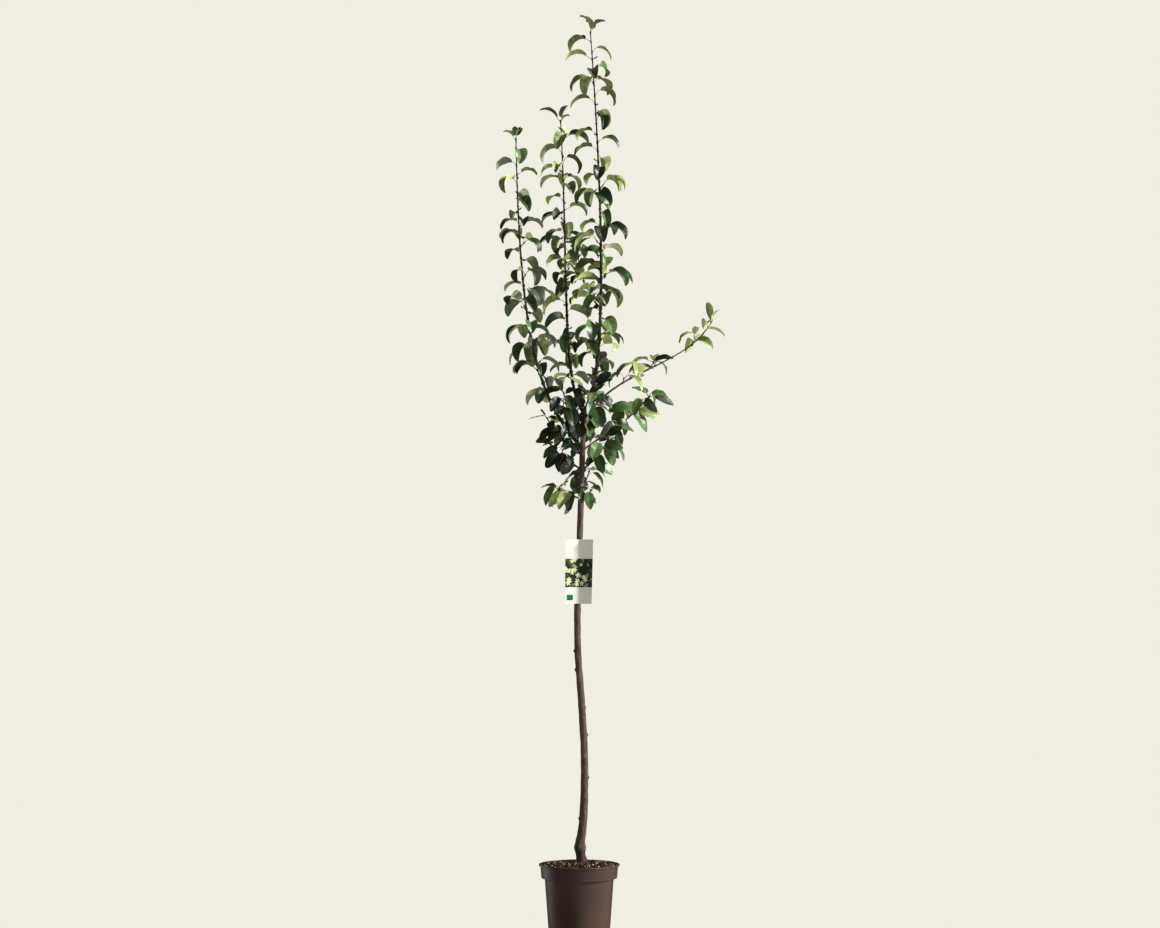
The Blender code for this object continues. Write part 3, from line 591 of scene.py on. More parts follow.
# Fine wood: sides of its tubes, buds, and relief as waves of noise with a scale and a height
TUBE_STEP = 0.0022
TRUNK_SIDES, BOUGH_SIDES, STEM_SIDES, SPUR_SIDES, BUD_SIDES = 40, 16, 12, 10, 8
WOOD_RIPPLES = ((160.0, 0.10), (600.0, 0.05))
BOUGH_END = 0.002
BUD_LENGTH = 0.0060
BUD_OUTLINE = (0.20, 0.30, 0.30, 0.22, 0.10, 0.02)
TIP_BUD_INSET = 0.001
TIP_BUD_SCALE = 1.2
NODE_SWELL = 0.5
NODE_LENGTH = 0.0024

# Bare stubs: distance between them, its range, and how they stand on the stem
STUB_STEP = 0.055
STUB_GAPS = (0.5, 1.5)
STUB_RISE = (0.2, 0.9)
STUB_SQUARE = 0.6
STUB_LENGTHS = (0.003, 0.011)
STUB_RADIUS = 0.0012

# Trunk: relief of its bark, and bud scars with height and bearing in degrees
BARK_STAND = 0.0005
BARK_RIPPLES = ((Vector((260.0, 260.0, 40.0)), 0.0010), (700.0, 0.00022))
TRUNK_KNOTS = (
    (0.754, 190), (0.705, 186), (0.607, 12), (0.535, 8), (0.424, 5), (0.317, 186),
    (0.955, 150), (0.860, 30), (1.100, 60), (0.650, 100), (0.480, 265), (0.370, 290),
)
KNOT_REACH = 0.0085
KNOT_HEIGHT = 0.0034
KNOT_WIDTH = 0.0036
FOOT_FLARE = 0.0022
FOOT_RISE = 0.012
FOOT_ROOTS = 3.0
FOOT_TURN = 0.8
# The root collar, with darker and redder bark up to a ragged line
COLLAR_TOP = 0.2300
COLLAR_RAGGED = 0.010
COLLAR_RAGGED_SCALE = 180.0

# Pot: corners round it, and its soft edges from the inside over the lip and down. Each edge has
# its radius and height, and the offsets of its corners outwards and upwards, in these units
POT_FINE_STEPS = 128
POT_EDGE_UNIT = 0.0001
POT_EDGES = (
    (POT_BAND_TOP_RADIUS - POT_WALL, POT_HEIGHT, ((0, -6), (6, 0))),
    (POT_LIP_RADIUS, POT_HEIGHT, ((-10, 0), (-3, -3), (0, -10))),
    (POT_LIP_RADIUS, POT_HEIGHT - POT_LIP_DEPTH, ((0, 14), (-5, 5))),
    (POT_BAND_TOP_RADIUS, POT_HEIGHT - POT_LIP_DEPTH, ((4, 0), (0, -6))),
    (POT_BAND_FOOT_RADIUS, POT_BAND_FOOT, ((0, 14), (-5, 3), (-14, 0))),
    (POT_BODY_TOP_RADIUS, POT_BAND_FOOT, ((6, -3), (0, -12))),
)
POT_FOOT_STEPS = 6
POT_EDGE_ANGLE = radians(50)
DRAIN_FINE_SIDES = 24

# Soil: rings and steps of its surface, with lumps that fade out near the pot
SOIL_MARGIN = 0.0012
SOIL_RADIUS = POT_BAND_TOP_RADIUS - POT_WALL - SOIL_MARGIN
SOIL_FINE_RINGS = 70
SOIL_FINE_STEPS = 180
SOIL_SKIRT = 0.012
SOIL_LUMPS = ((90.0, 0.0024), (260.0, 0.0016))
SOIL_SINK = 0.0004
SOIL_FADE = 0.006

# Crumbs: sizes, how often earth, chip and grit are dealt, and the stretch of each
CRUMB_SEED = 404
CRUMBS = 1500
CRUMB_SIZES = (0.0007, 0.0011, 0.0016, 0.0024, 0.0032)
CRUMB_SHARES = (0.63, 0.32, 0.05)
CRUMB_STRETCHES = ((1.0, 0.85, 0.75), (1.0, 0.55, 0.3), (1.0, 0.85, 0.75))
CRUMB_RINGS = ((-0.9, 0.35), (-0.35, 0.95), (0.35, 0.9), (0.9, 0.4))
CRUMB_SIDES = 5
CRUMB_JITTER = (0.82, 1.18)
CRUMB_LIFT = 0.35
CRUMB_FIELD = 0.985
CRUMB_MARGIN = 1.5
TRUNK_MARGIN = 0.016

# Label card: cells across, and bands down it, each with its start and its number of rows
CARD_COLUMNS = 152
CARD_BANDS = ((0.0, 10), (0.050, 148), (0.124, 4), (0.143, 3), (0.158, 2))
PANEL_ROWS = (10, 158)
PATCH_ROWS = (162, 165)
PATCH_COLUMNS = (8, 42)
FOLD_SOFTNESS = 0.0015
CARD_TURN = 0.12
CARD_CURL = 0.0016
CARD_EDGE_ANGLE = radians(35)
STRAP_FINE_STEPS = 48
STRAP_EASE = 0.0006

# Prints of the card in their order, then the panel's motifs with measures in cells: leaf dabs,
# and over them pale blossoms that lean to the left
PRINT_COLOURS = (
    ("label_white", (0.70, 0.69, 0.62)),
    ("label_ground", (0.012, 0.014, 0.009)),
    ("label_leaf", (0.045, 0.070, 0.028)),
    ("label_leaf_pale", (0.220, 0.300, 0.120)),
    ("label_blossom", (0.640, 0.690, 0.400)),
    ("label_patch", (0.006, 0.120, 0.060)),
)
WHITE, GROUND, LEAF, PALE_LEAF, BLOSSOM, PATCH = range(len(PRINT_COLOURS))
PRINT_SEED = 21
DABS = 80
DAB_LENGTHS = (10.0, 22.0)
DAB_WIDTH = 0.42
DAB_PRINTS = (GROUND, GROUND, LEAF, LEAF, PALE_LEAF)
BLOSSOMS = 22
BLOSSOM_SIZES = (10.0, 16.0)
BLOSSOM_LEAN = 1.4
PETALS = 5
PETAL_DEPTH = 0.28

# Leaf tints: upper side and underside
# Undersides are paler, as a pear leaf's are, and paler still as painted light shining through the
# leaf
TINTS = {
    # The deep tint is partly painted shade: darker than a leaf's own green, for leaves in the
    # crown's shadow
    "deep": ((0.007, 0.014, 0.005), (0.100, 0.125, 0.042)),
    "middle": ((0.026, 0.058, 0.013), (0.245, 0.292, 0.098)),
    "fresh": ((0.080, 0.148, 0.044), (0.380, 0.442, 0.160)),
    "young": ((0.295, 0.355, 0.125), (0.550, 0.605, 0.260)),
    "greyish": ((0.052, 0.062, 0.036), (0.245, 0.265, 0.160)),
}
# By mass: breadth of its leaves against the solids', and how often each tint is dealt
MASSES = {
    # The left leader's many greyish leaves are painted light: the paler, hazier light on that side
    # of the crown
    "left_leader": (1.17, (0.18, 0.22, 0.17, 0.05, 0.38)),
    "middle_leader": (1.14, (0.32, 0.30, 0.22, 0.08, 0.08)),
    "right_leader": (1.16, (0.21, 0.26, 0.32, 0.19, 0.02)),
    "right_lateral": (0.86, (0.04, 0.12, 0.30, 0.54, 0.00)),
    "right_lower_lateral": (0.86, (0.08, 0.36, 0.42, 0.09, 0.05)),
    # The left masses of the head (left_upper, left_lower, front_left and back_left) are dealt
    # mostly the deep tint: painted shade on the side away from the key light
    "left_upper_shoot": (0.86, (0.76, 0.14, 0.05, 0.01, 0.04)),
    "left_lower_shoot": (0.86, (0.66, 0.20, 0.08, 0.02, 0.04)),
    "right_shoot": (0.92, (0.36, 0.30, 0.34, 0.00, 0.00)),
    "front_left_shoot": (0.86, (0.70, 0.19, 0.07, 0.01, 0.03)),
    "front_right_shoot": (0.92, (0.36, 0.32, 0.32, 0.00, 0.00)),
    "front_shoot": (0.86, (0.50, 0.36, 0.12, 0.02, 0.00)),
    "back_shoot": (0.86, (0.40, 0.36, 0.18, 0.04, 0.02)),
    "back_left_shoot": (0.86, (0.66, 0.20, 0.08, 0.01, 0.05)),
    "low_left_shoot": (1.00, (0.10, 0.34, 0.50, 0.06, 0.00)),
    "low_right_shoot": (1.00, (0.14, 0.36, 0.46, 0.04, 0.00)),
    "low_back_shoot": (1.00, (0.40, 0.36, 0.18, 0.04, 0.02)),
}
# The young tint gains beyond this share of a mass's leaves, by so much for the rest of them
YOUNG = list(TINTS).index("young")
YOUNG_FROM = 0.75
YOUNG_GAIN = {"right_lateral": 1.4}
YOUNG_GAIN_DEFAULT = 0.35
# A mass's fine draws have the limb's seed and this
FINE_SEED = 5000

# Clouded materials: colour, roughness and specular level, clouds as scale, detail and roughness
# of a noise, shades at their places in it, then grain as a noise, with its strength and depth
POT_PLASTIC = (
    ((0.056, 0.028, 0.021), 0.36, 0.25), (14.0, 5.0, 0.6),
    ((0.35, (0.047, 0.024, 0.018)), (0.75, (0.061, 0.031, 0.023))), (900.0, 3.0, 0.6),
    (0.2, 0.0003),
)
POT_SCUFFS = (60.0, 8.0, 0.7)
POT_GLOSS = ((0.3, (0.32, 0.32, 0.32)), (0.7, (0.48, 0.48, 0.48)))
SOIL_EARTH = (
    ((0.060, 0.040, 0.030), 0.95, 0.1), (220.0, 8.0, 0.75),
    ((0.35, (0.012, 0.007, 0.005)), (0.60, (0.037, 0.023, 0.014)), (0.80, (0.100, 0.062, 0.033))),
    (500.0, 6.0, 0.8), (0.9, 0.002),
)
LEAF_CLOUDS, LEAF_GRAIN = (75.0, 4.0, 0.6), (700.0, 4.0, 0.6)
LEAF_SHADES = ((0.3, 0.68), (0.7, 1.38))
LEAF_RELIEF = (0.3, 0.0003)
# Barks: dark, bright, and how many grains a metre, then noises with their scale in grains
BARKS = {
    "trunk_bark": ((0.040, 0.026, 0.019), (0.120, 0.084, 0.058), 70.0),
    "collar_bark": ((0.026, 0.013, 0.011), (0.080, 0.042, 0.034), 90.0),
    "twig_bark": ((0.012, 0.007, 0.005), (0.055, 0.033, 0.022), 120.0),
    "young_bark": ((0.100, 0.050, 0.040), (0.240, 0.140, 0.110), 120.0),
}
BARK_STREAKS = (1.0, 6.0, 0.65, (1.0, 1.0, 0.25))
BARK_FLECKS = (3.0, 2.0, 0.5, (1.0, 1.0, 3.0))
BARK_CRACKS = (5.0, 5.0, 0.7, (1.0, 1.0, 0.4))
BARK_STOPS = (0.32, 0.72)
BARK_RELIEF = (0.6, 0.0012)
FLECK_RANGE = (0.60, 0.70)
FLECK_SHADE = 1.6
# Roughness and specular level, and a leaf's roughness on its two sides
BARK_FINISH = (0.75, 0.15)
PRINT_FINISH = (0.6, 0.15)
LEAF_ROUGHNESS = (0.34, 0.6)
# Plain materials: colour and roughness
PLAIN = {
    "leaf_stalk": ((0.20, 0.25, 0.09), 0.5),
    "leaf_rib": ((0.070, 0.105, 0.035), 0.45),
    "bark_chip": ((0.235, 0.150, 0.078), 0.85),
    "grit": ((0.40, 0.32, 0.22), 0.8),
}


def feed(tree, node, values):
    """Set a node's inputs by name: sockets are linked, and other values are set."""
    for name, value in values.items():
        if isinstance(value, bpy.types.NodeSocket):
            tree.links.new(value, node.inputs[name])
        else:
            node.inputs[name].default_value = value
    return node


def add_node(tree, kind, **values):
    """A new shader node with its inputs, where an underscore stands for a space."""
    named = {name.replace("_", " "): value for name, value in values.items()}
    return feed(tree, tree.nodes.new("ShaderNode" + kind), named)


def new_material(name, colour, roughness, specular=0.5):
    """A principled material, its node tree and its shader."""
    made = bpy.data.materials.new(name)
    made.use_nodes = True
    tree = made.node_tree
    look = {"Base Color": (*colour, 1.0), "Roughness": roughness, "Specular IOR Level": specular}
    return made, tree, feed(tree, tree.nodes["Principled BSDF"], look)


def add_noise(tree, scale, detail, rough, stretch=(1.0, 1.0, 1.0), grains=1.0):
    """The factor of a noise texture in object space."""
    place = add_node(tree, "TexCoord").outputs["Object"]
    mapping = add_node(tree, "Mapping", Vector=place, Scale=stretch)
    texture = add_node(tree, "TexNoise", Vector=mapping.outputs["Vector"], Scale=scale * grains,
                       Detail=detail, Roughness=rough)
    return texture.outputs["Fac"]


def add_ramp(tree, source, stops):
    """The colour of a ramp over a factor."""
    ramp = add_node(tree, "ValToRGB", Fac=source)
    while len(ramp.color_ramp.elements) < len(stops):
        ramp.color_ramp.elements.new(0.5)
    for element, (place, colour) in zip(ramp.color_ramp.elements, stops):
        element.position = place
        element.color = (*colour, 1.0)
    return ramp.outputs["Color"]


def add_bump(tree, source, strength, depth):
    """The normal of a surface with relief from a factor."""
    bump = add_node(tree, "Bump", Height=source, Strength=strength, Distance=depth)
    return bump.outputs["Normal"]


def clouded_material(name, look, clouds, stops, grain, relief):
    """A material with clouds of colour and fine relief, its node tree and its shader."""
    made, tree, shader = new_material(name, *look)
    feed(tree, shader, {
        "Base Color": add_ramp(tree, add_noise(tree, *clouds), stops),
        "Normal": add_bump(tree, add_noise(tree, *grain), *relief),
    })
    return made, tree, shader


def shaded(colour, factor):
    """A colour made darker or brighter."""
    return tuple(part * factor for part in colour)


def leaf_material(name, colour, roughness):
    """Leaf skin: one plain colour, faintly mottled, with fine relief."""
    stops = [(place, shaded(colour, shade)) for place, shade in LEAF_SHADES]
    look = (colour, roughness)
    return clouded_material(name, look, LEAF_CLOUDS, stops, LEAF_GRAIN, LEAF_RELIEF)[0]


def bark_material(name, dark, bright, grains):
    """Bark: long streaks, small pale flecks across them and fine cracks."""
    made, tree, shader = new_material(name, dark, *BARK_FINISH)
    streaks, flecks, cracks = [
        add_noise(tree, *look, grains=grains) for look in (BARK_STREAKS, BARK_FLECKS, BARK_CRACKS)
    ]
    low, high = FLECK_RANGE
    level = add_node(tree, "MapRange", Value=flecks, From_Min=low, From_Max=high)
    fleck = tree.nodes.new("ShaderNodeMix")
    fleck.data_type = "RGBA"
    feed(tree, fleck, {
        "A": add_ramp(tree, streaks, list(zip(BARK_STOPS, (dark, bright)))),
        "B": (*shaded(bright, FLECK_SHADE), 1.0),
        "Factor": level.outputs["Result"],
    })
    feed(tree, shader, {
        "Base Color": fleck.outputs["Result"],
        "Normal": add_bump(tree, cracks, *BARK_RELIEF),
    })
    return made


def ring(steps, radius, height, centre=Vector()):
    """Points round an upright axis."""
    angles = [tau * step / steps for step in range(steps)]
    return [centre + Vector((radius * cos(turn), radius * sin(turn), height)) for turn in angles]


def ripple(point, waves):
    """Relief at a point from waves of noise."""
    return sum(height * noise.noise(point * scale) for scale, height in waves)


def add_object(name, data):
    """A new object of the scene."""
    made = bpy.data.objects.new(name, data)
    bpy.context.scene.collection.objects.link(made)
    return made


class Shape:
    """Corners and faces of a mesh that is being put together."""

    def __init__(self):
        self.corners, self.faces, self.slots = [], [], []

    def add(self, points):
        """Add corners and return their numbers."""
        first = len(self.corners)
        self.corners.extend(points)
        return list(range(first, len(self.corners)))

    def face(self, corners, slot):
        """One face, unless its corners fall together."""
        corners = tuple(dict.fromkeys(corners))
        if len(corners) > 2:
            self.faces.append(corners)
            self.slots.append(slot)

    def grid(self, rows, slot, closed=True, flip=False):
        """Faces between rows of corner numbers, turned over but cut the same way if flipped."""
        for lower, upper in zip(rows, rows[1:]):
            count = len(lower)
            for number in range(count if closed else count - 1):
                after = (number + 1) % count
                sides = (lower[after], upper[number]) if not flip else (upper[number], lower[after])
                self.face((lower[number], sides[0], upper[after], sides[1]), slot)

    def fan(self, row, slot, flip=False):
        """A closed row of corners filled with triangles round its middle."""
        centre = sum((self.corners[number] for number in row), Vector()) / len(row)
        middle = self.add([centre])[0]
        for number, after in zip(row, row[1:] + row[:1]):
            self.face((after, number, middle) if flip else (number, after, middle), slot)

    def barrel(self, rings, slot=0, flip=False):
        """A body of rings of points, filled at both ends."""
        rows = [self.add(points) for points in rings]
        self.grid(rows, slot, flip=flip)
        self.fan(rows[0], slot, flip=not flip)
        self.fan(rows[-1], slot, flip=flip)

    def tube(self, points, radii, sides, slot=0, relief=None):
        """A round tapered tube, closed at both ends."""
        rings = []
        across = (points[1] - points[0]).orthogonal()
        for number, (point, radius) in enumerate(zip(points, radii)):
            before, after = points[max(number - 1, 0)], points[min(number + 1, len(points) - 1)]
            ahead = (after - before).normalized()
            across = (across - ahead * across.dot(ahead)).normalized()
            up = ahead.cross(across)
            rings.append([])
            for side in range(sides):
                angle = tau * side / sides
                out = across * cos(angle) + up * sin(angle)
                swell = relief(point + out * radius, number) if relief else 0.0
                rings[-1].append(point + out * (radius + swell))
        self.barrel(rings, slot)

    def make(self, name, materials, slot):
        """The finished, smooth-shaded piece, riding on the root body."""
        mesh = bpy.data.meshes.new(name)
        mesh.from_pydata([tuple(corner) for corner in self.corners], [], self.faces)
        for material in materials:
            mesh.materials.append(material)
        mesh.polygons.foreach_set("material_index", self.slots)
        mesh.shade_smooth()
        mesh.update()
        made = add_object(name, mesh)
        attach(made, "root")
        return made


def blade_width(share):
    """Half width of a blade, as a share of its widest, from base to tip."""
    scale, base, tip = BLADE_OUTLINE
    return scale * share ** base * (1.0 - share) ** tip


class FineLeaf:
    """A thin leaf: a folded, arching blade with a midrib, veins and a waved margin."""

    def __init__(self, leaf, fullness, dice):
        self.leaf = leaf
        self.half = leaf.half * fullness
        self.phase = dice.uniform(0.0, tau)
        self.waves = dice.uniform(*WAVE_RANGE)
        self.flare = dice.uniform(*FLARE_RANGE)
        self.twist = dice.uniform(-TWIST_RANGE, TWIST_RANGE)

    def point(self, share, reach):
        """The upper side's point and its upward direction, at shares along and across."""
        leaf = self.leaf
        rib, ahead, above = leaf.rib(share)
        above = Matrix.Rotation(self.twist * share, 3, ahead) @ above
        across = ahead.cross(above)
        width = blade_width(share) * self.half
        out = abs(reach)
        fold = leaf.fold * (1.0 - self.flare * out)
        wave = MARGIN_WAVE * out ** 2 * sin(self.waves * tau * share + self.phase + reach)
        ridge = cos(tau * (VEIN_PAIRS * share - VEIN_SLANT * out))
        vein = VEIN_RELIEF * ridge * out * (1.0 - out)
        lift = width * out * sin(fold) + wave + vein
        return rib + across * (width * reach * cos(fold)) + above * lift, above

    def add_to(self, shape, slot, stalk_slot):
        """Add the blade's two skins, which meet at the margin, and the stalk."""
        base, tip = [shape.add([self.leaf.rib(share)[0]]) * len(LEAF_REACHES)
                     for share in (0.0, 1.0)]
        upper_rows, lower_rows = [base], [base]
        for number in range(1, LEAF_STATIONS):
            share = number / LEAF_STATIONS
            upper, lower = [], []
            for reach in LEAF_REACHES:
                place, above = self.point(share, reach)
                upper.append(place)
                rib = MIDRIB_DEPTH * (1.0 - share) * max(0.0, 1.0 - abs(reach) / MIDRIB_REACH)
                lower.append(place - above * (LEAF_SKIN * (1.0 - reach ** 2) + rib))
            upper = shape.add(upper)
            lower_rows.append([upper[0], *shape.add(lower[1:-1]), upper[-1]])
            upper_rows.append(upper)
        upper_rows.append(tip)
        lower_rows.append(tip)
        for part, upper_slot, under_slot in ((LEFT_HALF, slot, slot + 1),
                                             (MIDRIB, stalk_slot + 1, stalk_slot),
                                             (RIGHT_HALF, slot, slot + 1)):
            shape.grid([row[part] for row in upper_rows], upper_slot, closed=False)
            shape.grid([row[part] for row in lower_rows], under_slot, closed=False, flip=True)
        self.add_stalk(shape, stalk_slot)

    def add_stalk(self, shape, slot):
        """The stalk: it leaves the twig upwards and bends into the midrib."""
        leaf = self.leaf
        stalk = leaf.neck - leaf.root
        reach = stalk.length
        first, second = STALK_HANDLES
        bend = arch(leaf.root, leaf.root + (stalk + UP * reach * STALK_RISE) * first,
                    leaf.neck - leaf.ahead * reach * second,
                    leaf.neck + leaf.ahead * leaf.length * STALK_END, STALK_STEPS)
        radii = [STALK_RADIUS * blend(STALK_TAPER, step / STALK_STEPS)
                 for step in range(STALK_STEPS + 1)]
        shape.tube(bend.points, radii, STALK_SIDES, slot)


def deal_tint(name, deal, share, dice):
    """Deal a tint: young tints gather towards the tip of a limb."""
    shares = list(deal)
    shares[YOUNG] += YOUNG_GAIN.get(name, YOUNG_GAIN_DEFAULT) * max(0.0, share - YOUNG_FROM)
    return dice.choices(range(len(TINTS)), shares)[0]


def add_bud(shape, root, heading, size=BUD_LENGTH):
    """A small pointed bud."""
    count = len(BUD_OUTLINE) - 1
    points = [root + heading * size * step / count for step in range(count + 1)]
    shape.tube(points, [size * share for share in BUD_OUTLINE], BUD_SIDES)


def add_wood(shape, path, start, end, radius_of, sides, nodes=()):
    """A stretch of twig or limb with fine relief, swollen where leaves sit on it."""
    marks = path.places(start, end, TUBE_STEP)
    points = [path.at(mark)[0] for mark in marks]
    radii = []
    for mark, point in zip(marks, points):
        swell = sum(exp(-((point - node).length / NODE_LENGTH) ** 2) for node in nodes)
        radii.append(radius_of(mark) * (1.0 + NODE_SWELL * min(1.0, swell)))

    def relief(point, number):
        return radii[number] * ripple(point, WOOD_RIPPLES)

    shape.tube(points, radii, sides, relief=relief)


def add_spur(shape, root, tip, radius, sides, nodes=()):
    """A short straight spur."""
    path = Path([root, root.lerp(tip, 0.5), tip])
    add_wood(shape, path, 0.0, path.length, lambda _: radius, sides, nodes)


def add_stubs(shape, path, start, radius_of, dice):
    """Short bare spurs with a bud, here and there along a stem."""
    place = start + STUB_STEP * dice.random()
    while place < path.length - STUB_STEP:
        middle, ahead = path.at(place)
        bearing = dice.uniform(0.0, tau)
        out = outward(bearing, dice.uniform(*STUB_RISE))
        out = (out - ahead * out.dot(ahead) * STUB_SQUARE).normalized()
        tip = middle + out * (radius_of(place) + dice.uniform(*STUB_LENGTHS))
        add_spur(shape, middle, tip, STUB_RADIUS, BUD_SIDES, [tip])
        add_bud(shape, tip, (out + UP).normalized())
        place += STUB_STEP * dice.uniform(*STUB_GAPS)


def dress_mass(limb, spaces, leaf_skins, bark):
    """Replace a mass with its fine leaves and its fine wood."""
    grown = Growth(limb, spaces)
    dice = random.Random(limb.seed + FINE_SEED)
    foliage, wood = Shape(), Shape()
    last = max(1, len(grown.leaves) - 1)
    fullness, deal = MASSES[limb.name]
    # Slots: the two sides of each tint, then the stalk and the rib
    for number, leaf in enumerate(grown.leaves):
        tint = deal_tint(limb.name, deal, number / last, dice)
        FineLeaf(leaf, fullness, dice).add_to(foliage, 2 * tint, 2 * len(TINTS))
        heading = (leaf.neck - leaf.root).normalized()
        add_bud(wood, leaf.root, (heading + UP).normalized())
    paths = stems(limb)
    nodes = [leaf.root for leaf in grown.leaves] + [root for root, _ in grown.spurs]
    nodes += [path.at(start)[0] for path, start in paths[1:]]
    for path, start in paths:
        radius_of = limb.radius if path is limb.path else lambda _: TWIG_RADIUS
        add_wood(wood, path, start, path.length, radius_of, STEM_SIDES, nodes)
        add_stubs(wood, path, start, radius_of, dice)
        tip, heading = path.at(path.length)
        add_bud(wood, tip - heading * TIP_BUD_INSET, heading, BUD_LENGTH * TIP_BUD_SCALE)
    for root, tip in grown.spurs:
        add_spur(wood, root, tip, TWIG_RADIUS, SPUR_SIDES)
    node = limb.name + "_foliage"
    leafy = foliage.make(node + "_leaves", leaf_skins, "leaves")
    leafy.data.set_sharp_from_angle(angle=MARGIN_EDGE)
    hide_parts(node)
    wood.make(node + "_twigs", [bark], "bark")


def dress_bough(limb, bark):
    """Replace a bough with a limb of fine bark."""
    shape = Shape()
    add_wood(shape, limb.path, 0.0, limb.bough + BOUGH_END, limb.radius, BOUGH_SIDES)
    made = shape.make(limb.name + "_bark", [bark], "bark")
    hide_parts(limb.name)


def trunk_radius(line, radii, mark):
    """The trunk's radius at a distance up its middle line."""
    table = list(zip(line.marks, radii))
    for (low, first), (high, second) in zip(table, table[1:]):
        if mark <= high:
            return blend((first, second), (mark - low) / (high - low))
    return radii[-1]


def dress_trunk(bark, collar_bark):
    """The trunk with streaked bark, bud scars and a flared foot."""
    points, radii = trunk_line()
    line = Path(points)
    marks = line.places(0.0, line.length, TUBE_STEP)
    foot = TRUNK_STATIONS[0]
    knots = [trunk_axis(height) + outward(radians(bearing)) * KNOT_REACH
             for height, bearing in TRUNK_KNOTS]

    def relief(point, number):
        swell = BARK_STAND + ripple(point, BARK_RIPPLES)
        for knot in knots:
            swell += KNOT_HEIGHT * exp(-((point - knot).length / KNOT_WIDTH) ** 2)
        low = max(0.0, 1.0 - (point.z - foot[2]) / FOOT_RISE)
        angle = atan2(point.y - foot[1], point.x - foot[0])
        return swell + FOOT_FLARE * low * (0.5 + 0.5 * sin(FOOT_ROOTS * angle + FOOT_TURN))

    shape = Shape()
    shape.tube([line.at(mark)[0] for mark in marks],
               [trunk_radius(line, radii, mark) for mark in marks], TRUNK_SIDES, relief=relief)
    for number, corners in enumerate(shape.faces):
        point = shape.corners[corners[0]]
        if point.z + COLLAR_RAGGED * noise.noise(point * COLLAR_RAGGED_SCALE) < COLLAR_TOP:
            shape.slots[number] = 1
    made = shape.make("trunk_bark", [bark, collar_bark], "bark")
    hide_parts("trunk")


def drill_floor(made):
    """Cut the round drain holes through the pot's floor."""
    holes = []
    for number in range(DRAIN_HOLES):
        angle = tau * (number + 0.5) / DRAIN_HOLES
        place = (DRAIN_RING_RADIUS * cos(angle), DRAIN_RING_RADIUS * sin(angle), 0.0)
        bpy.ops.mesh.primitive_cylinder_add(vertices=DRAIN_FINE_SIDES, radius=DRAIN_HOLE_RADIUS,
                                            depth=4.0 * POT_FLOOR, location=place)
        holes.append(bpy.context.object)
        drill = made.modifiers.new("drain_hole", "BOOLEAN")
        drill.operation = "DIFFERENCE"
        drill.object = holes[-1]
    ready = bpy.context.evaluated_depsgraph_get()
    drilled = bpy.data.meshes.new_from_object(made.evaluated_get(ready))
    made.modifiers.clear()
    made.data = drilled
    for hole in holes:
        bpy.data.objects.remove(hole)


def dress_pot():
    """The moulded pot of satin plastic, with soft edges on its band, lip and foot."""
    inner_base = POT_BASE_RADIUS - POT_WALL
    profile = [
        (inner_base - POT_EDGE_ROUND, POT_FLOOR),
        (inner_base, POT_FLOOR + POT_EDGE_ROUND),
        (POT_BODY_TOP_RADIUS - POT_WALL, POT_BAND_FOOT + POT_WALL),
        (POT_BAND_FOOT_RADIUS - POT_WALL, POT_BAND_FOOT + 2.0 * POT_WALL),
    ]
    for radius, height, offsets in POT_EDGES:
        profile += [(radius + POT_EDGE_UNIT * out, height + POT_EDGE_UNIT * up)
                    for out, up in offsets]
    for step in range(POT_FOOT_STEPS + 1):
        angle = 0.5 * pi * step / POT_FOOT_STEPS
        profile.append((POT_BASE_RADIUS - POT_EDGE_ROUND * (1.0 - cos(angle)),
                        POT_EDGE_ROUND * (1.0 - sin(angle))))
    plastic, tree, shader = clouded_material("pot_plastic", *POT_PLASTIC)
    feed(tree, shader, {"Roughness": add_ramp(tree, add_noise(tree, *POT_SCUFFS), POT_GLOSS)})
    shape = Shape()
    shape.barrel([ring(POT_FINE_STEPS, *place) for place in profile], flip=True)
    made = shape.make("pot_shell", [plastic], "pot_plastic")
    drill_floor(made)
    made.data.set_sharp_from_angle(angle=POT_EDGE_ANGLE)
    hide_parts("pot")


def soil_height(radius):
    """Height of the soil's surface at a distance from the pot's axis."""
    share = (radius - SOIL_PLATEAU_RADIUS) / (SOIL_RADIUS - SOIL_PLATEAU_RADIUS)
    share = min(1.0, max(0.0, share))
    return blend((SOIL_DOME_HEIGHT, SOIL_EDGE_HEIGHT), 0.5 - 0.5 * cos(pi * share))


def soil_rings():
    """The soil from its middle over the lumpy surface to its foot."""
    rings = []
    for number in range(1, SOIL_FINE_RINGS + 1):
        radius = SOIL_RADIUS * number / SOIL_FINE_RINGS
        fade = min(1.0, (SOIL_RADIUS - radius) / SOIL_FADE)
        rings.append(ring(SOIL_FINE_STEPS, radius, 0.0))
        for point in rings[-1]:
            point.z = soil_height(radius) + (ripple(point, SOIL_LUMPS) - SOIL_SINK) * fade
    inner_base = POT_BASE_RADIUS - POT_WALL - GAP
    foot = POT_FLOOR + GAP
    for radius, height in (
        (SOIL_RADIUS, SOIL_EDGE_HEIGHT - SOIL_SKIRT),
        (POT_BAND_FOOT_RADIUS - POT_WALL - 2.0 * GAP, POT_BAND_FOOT + 2.0 * (POT_WALL + GAP)),
        (POT_BODY_TOP_RADIUS - POT_WALL - 2.0 * GAP, POT_BAND_FOOT + POT_WALL + 2.0 * GAP),
        (inner_base, foot + POT_EDGE_ROUND),
        (inner_base - POT_EDGE_ROUND, foot),
    ):
        rings.append(ring(SOIL_FINE_STEPS, radius, height))
    return rings


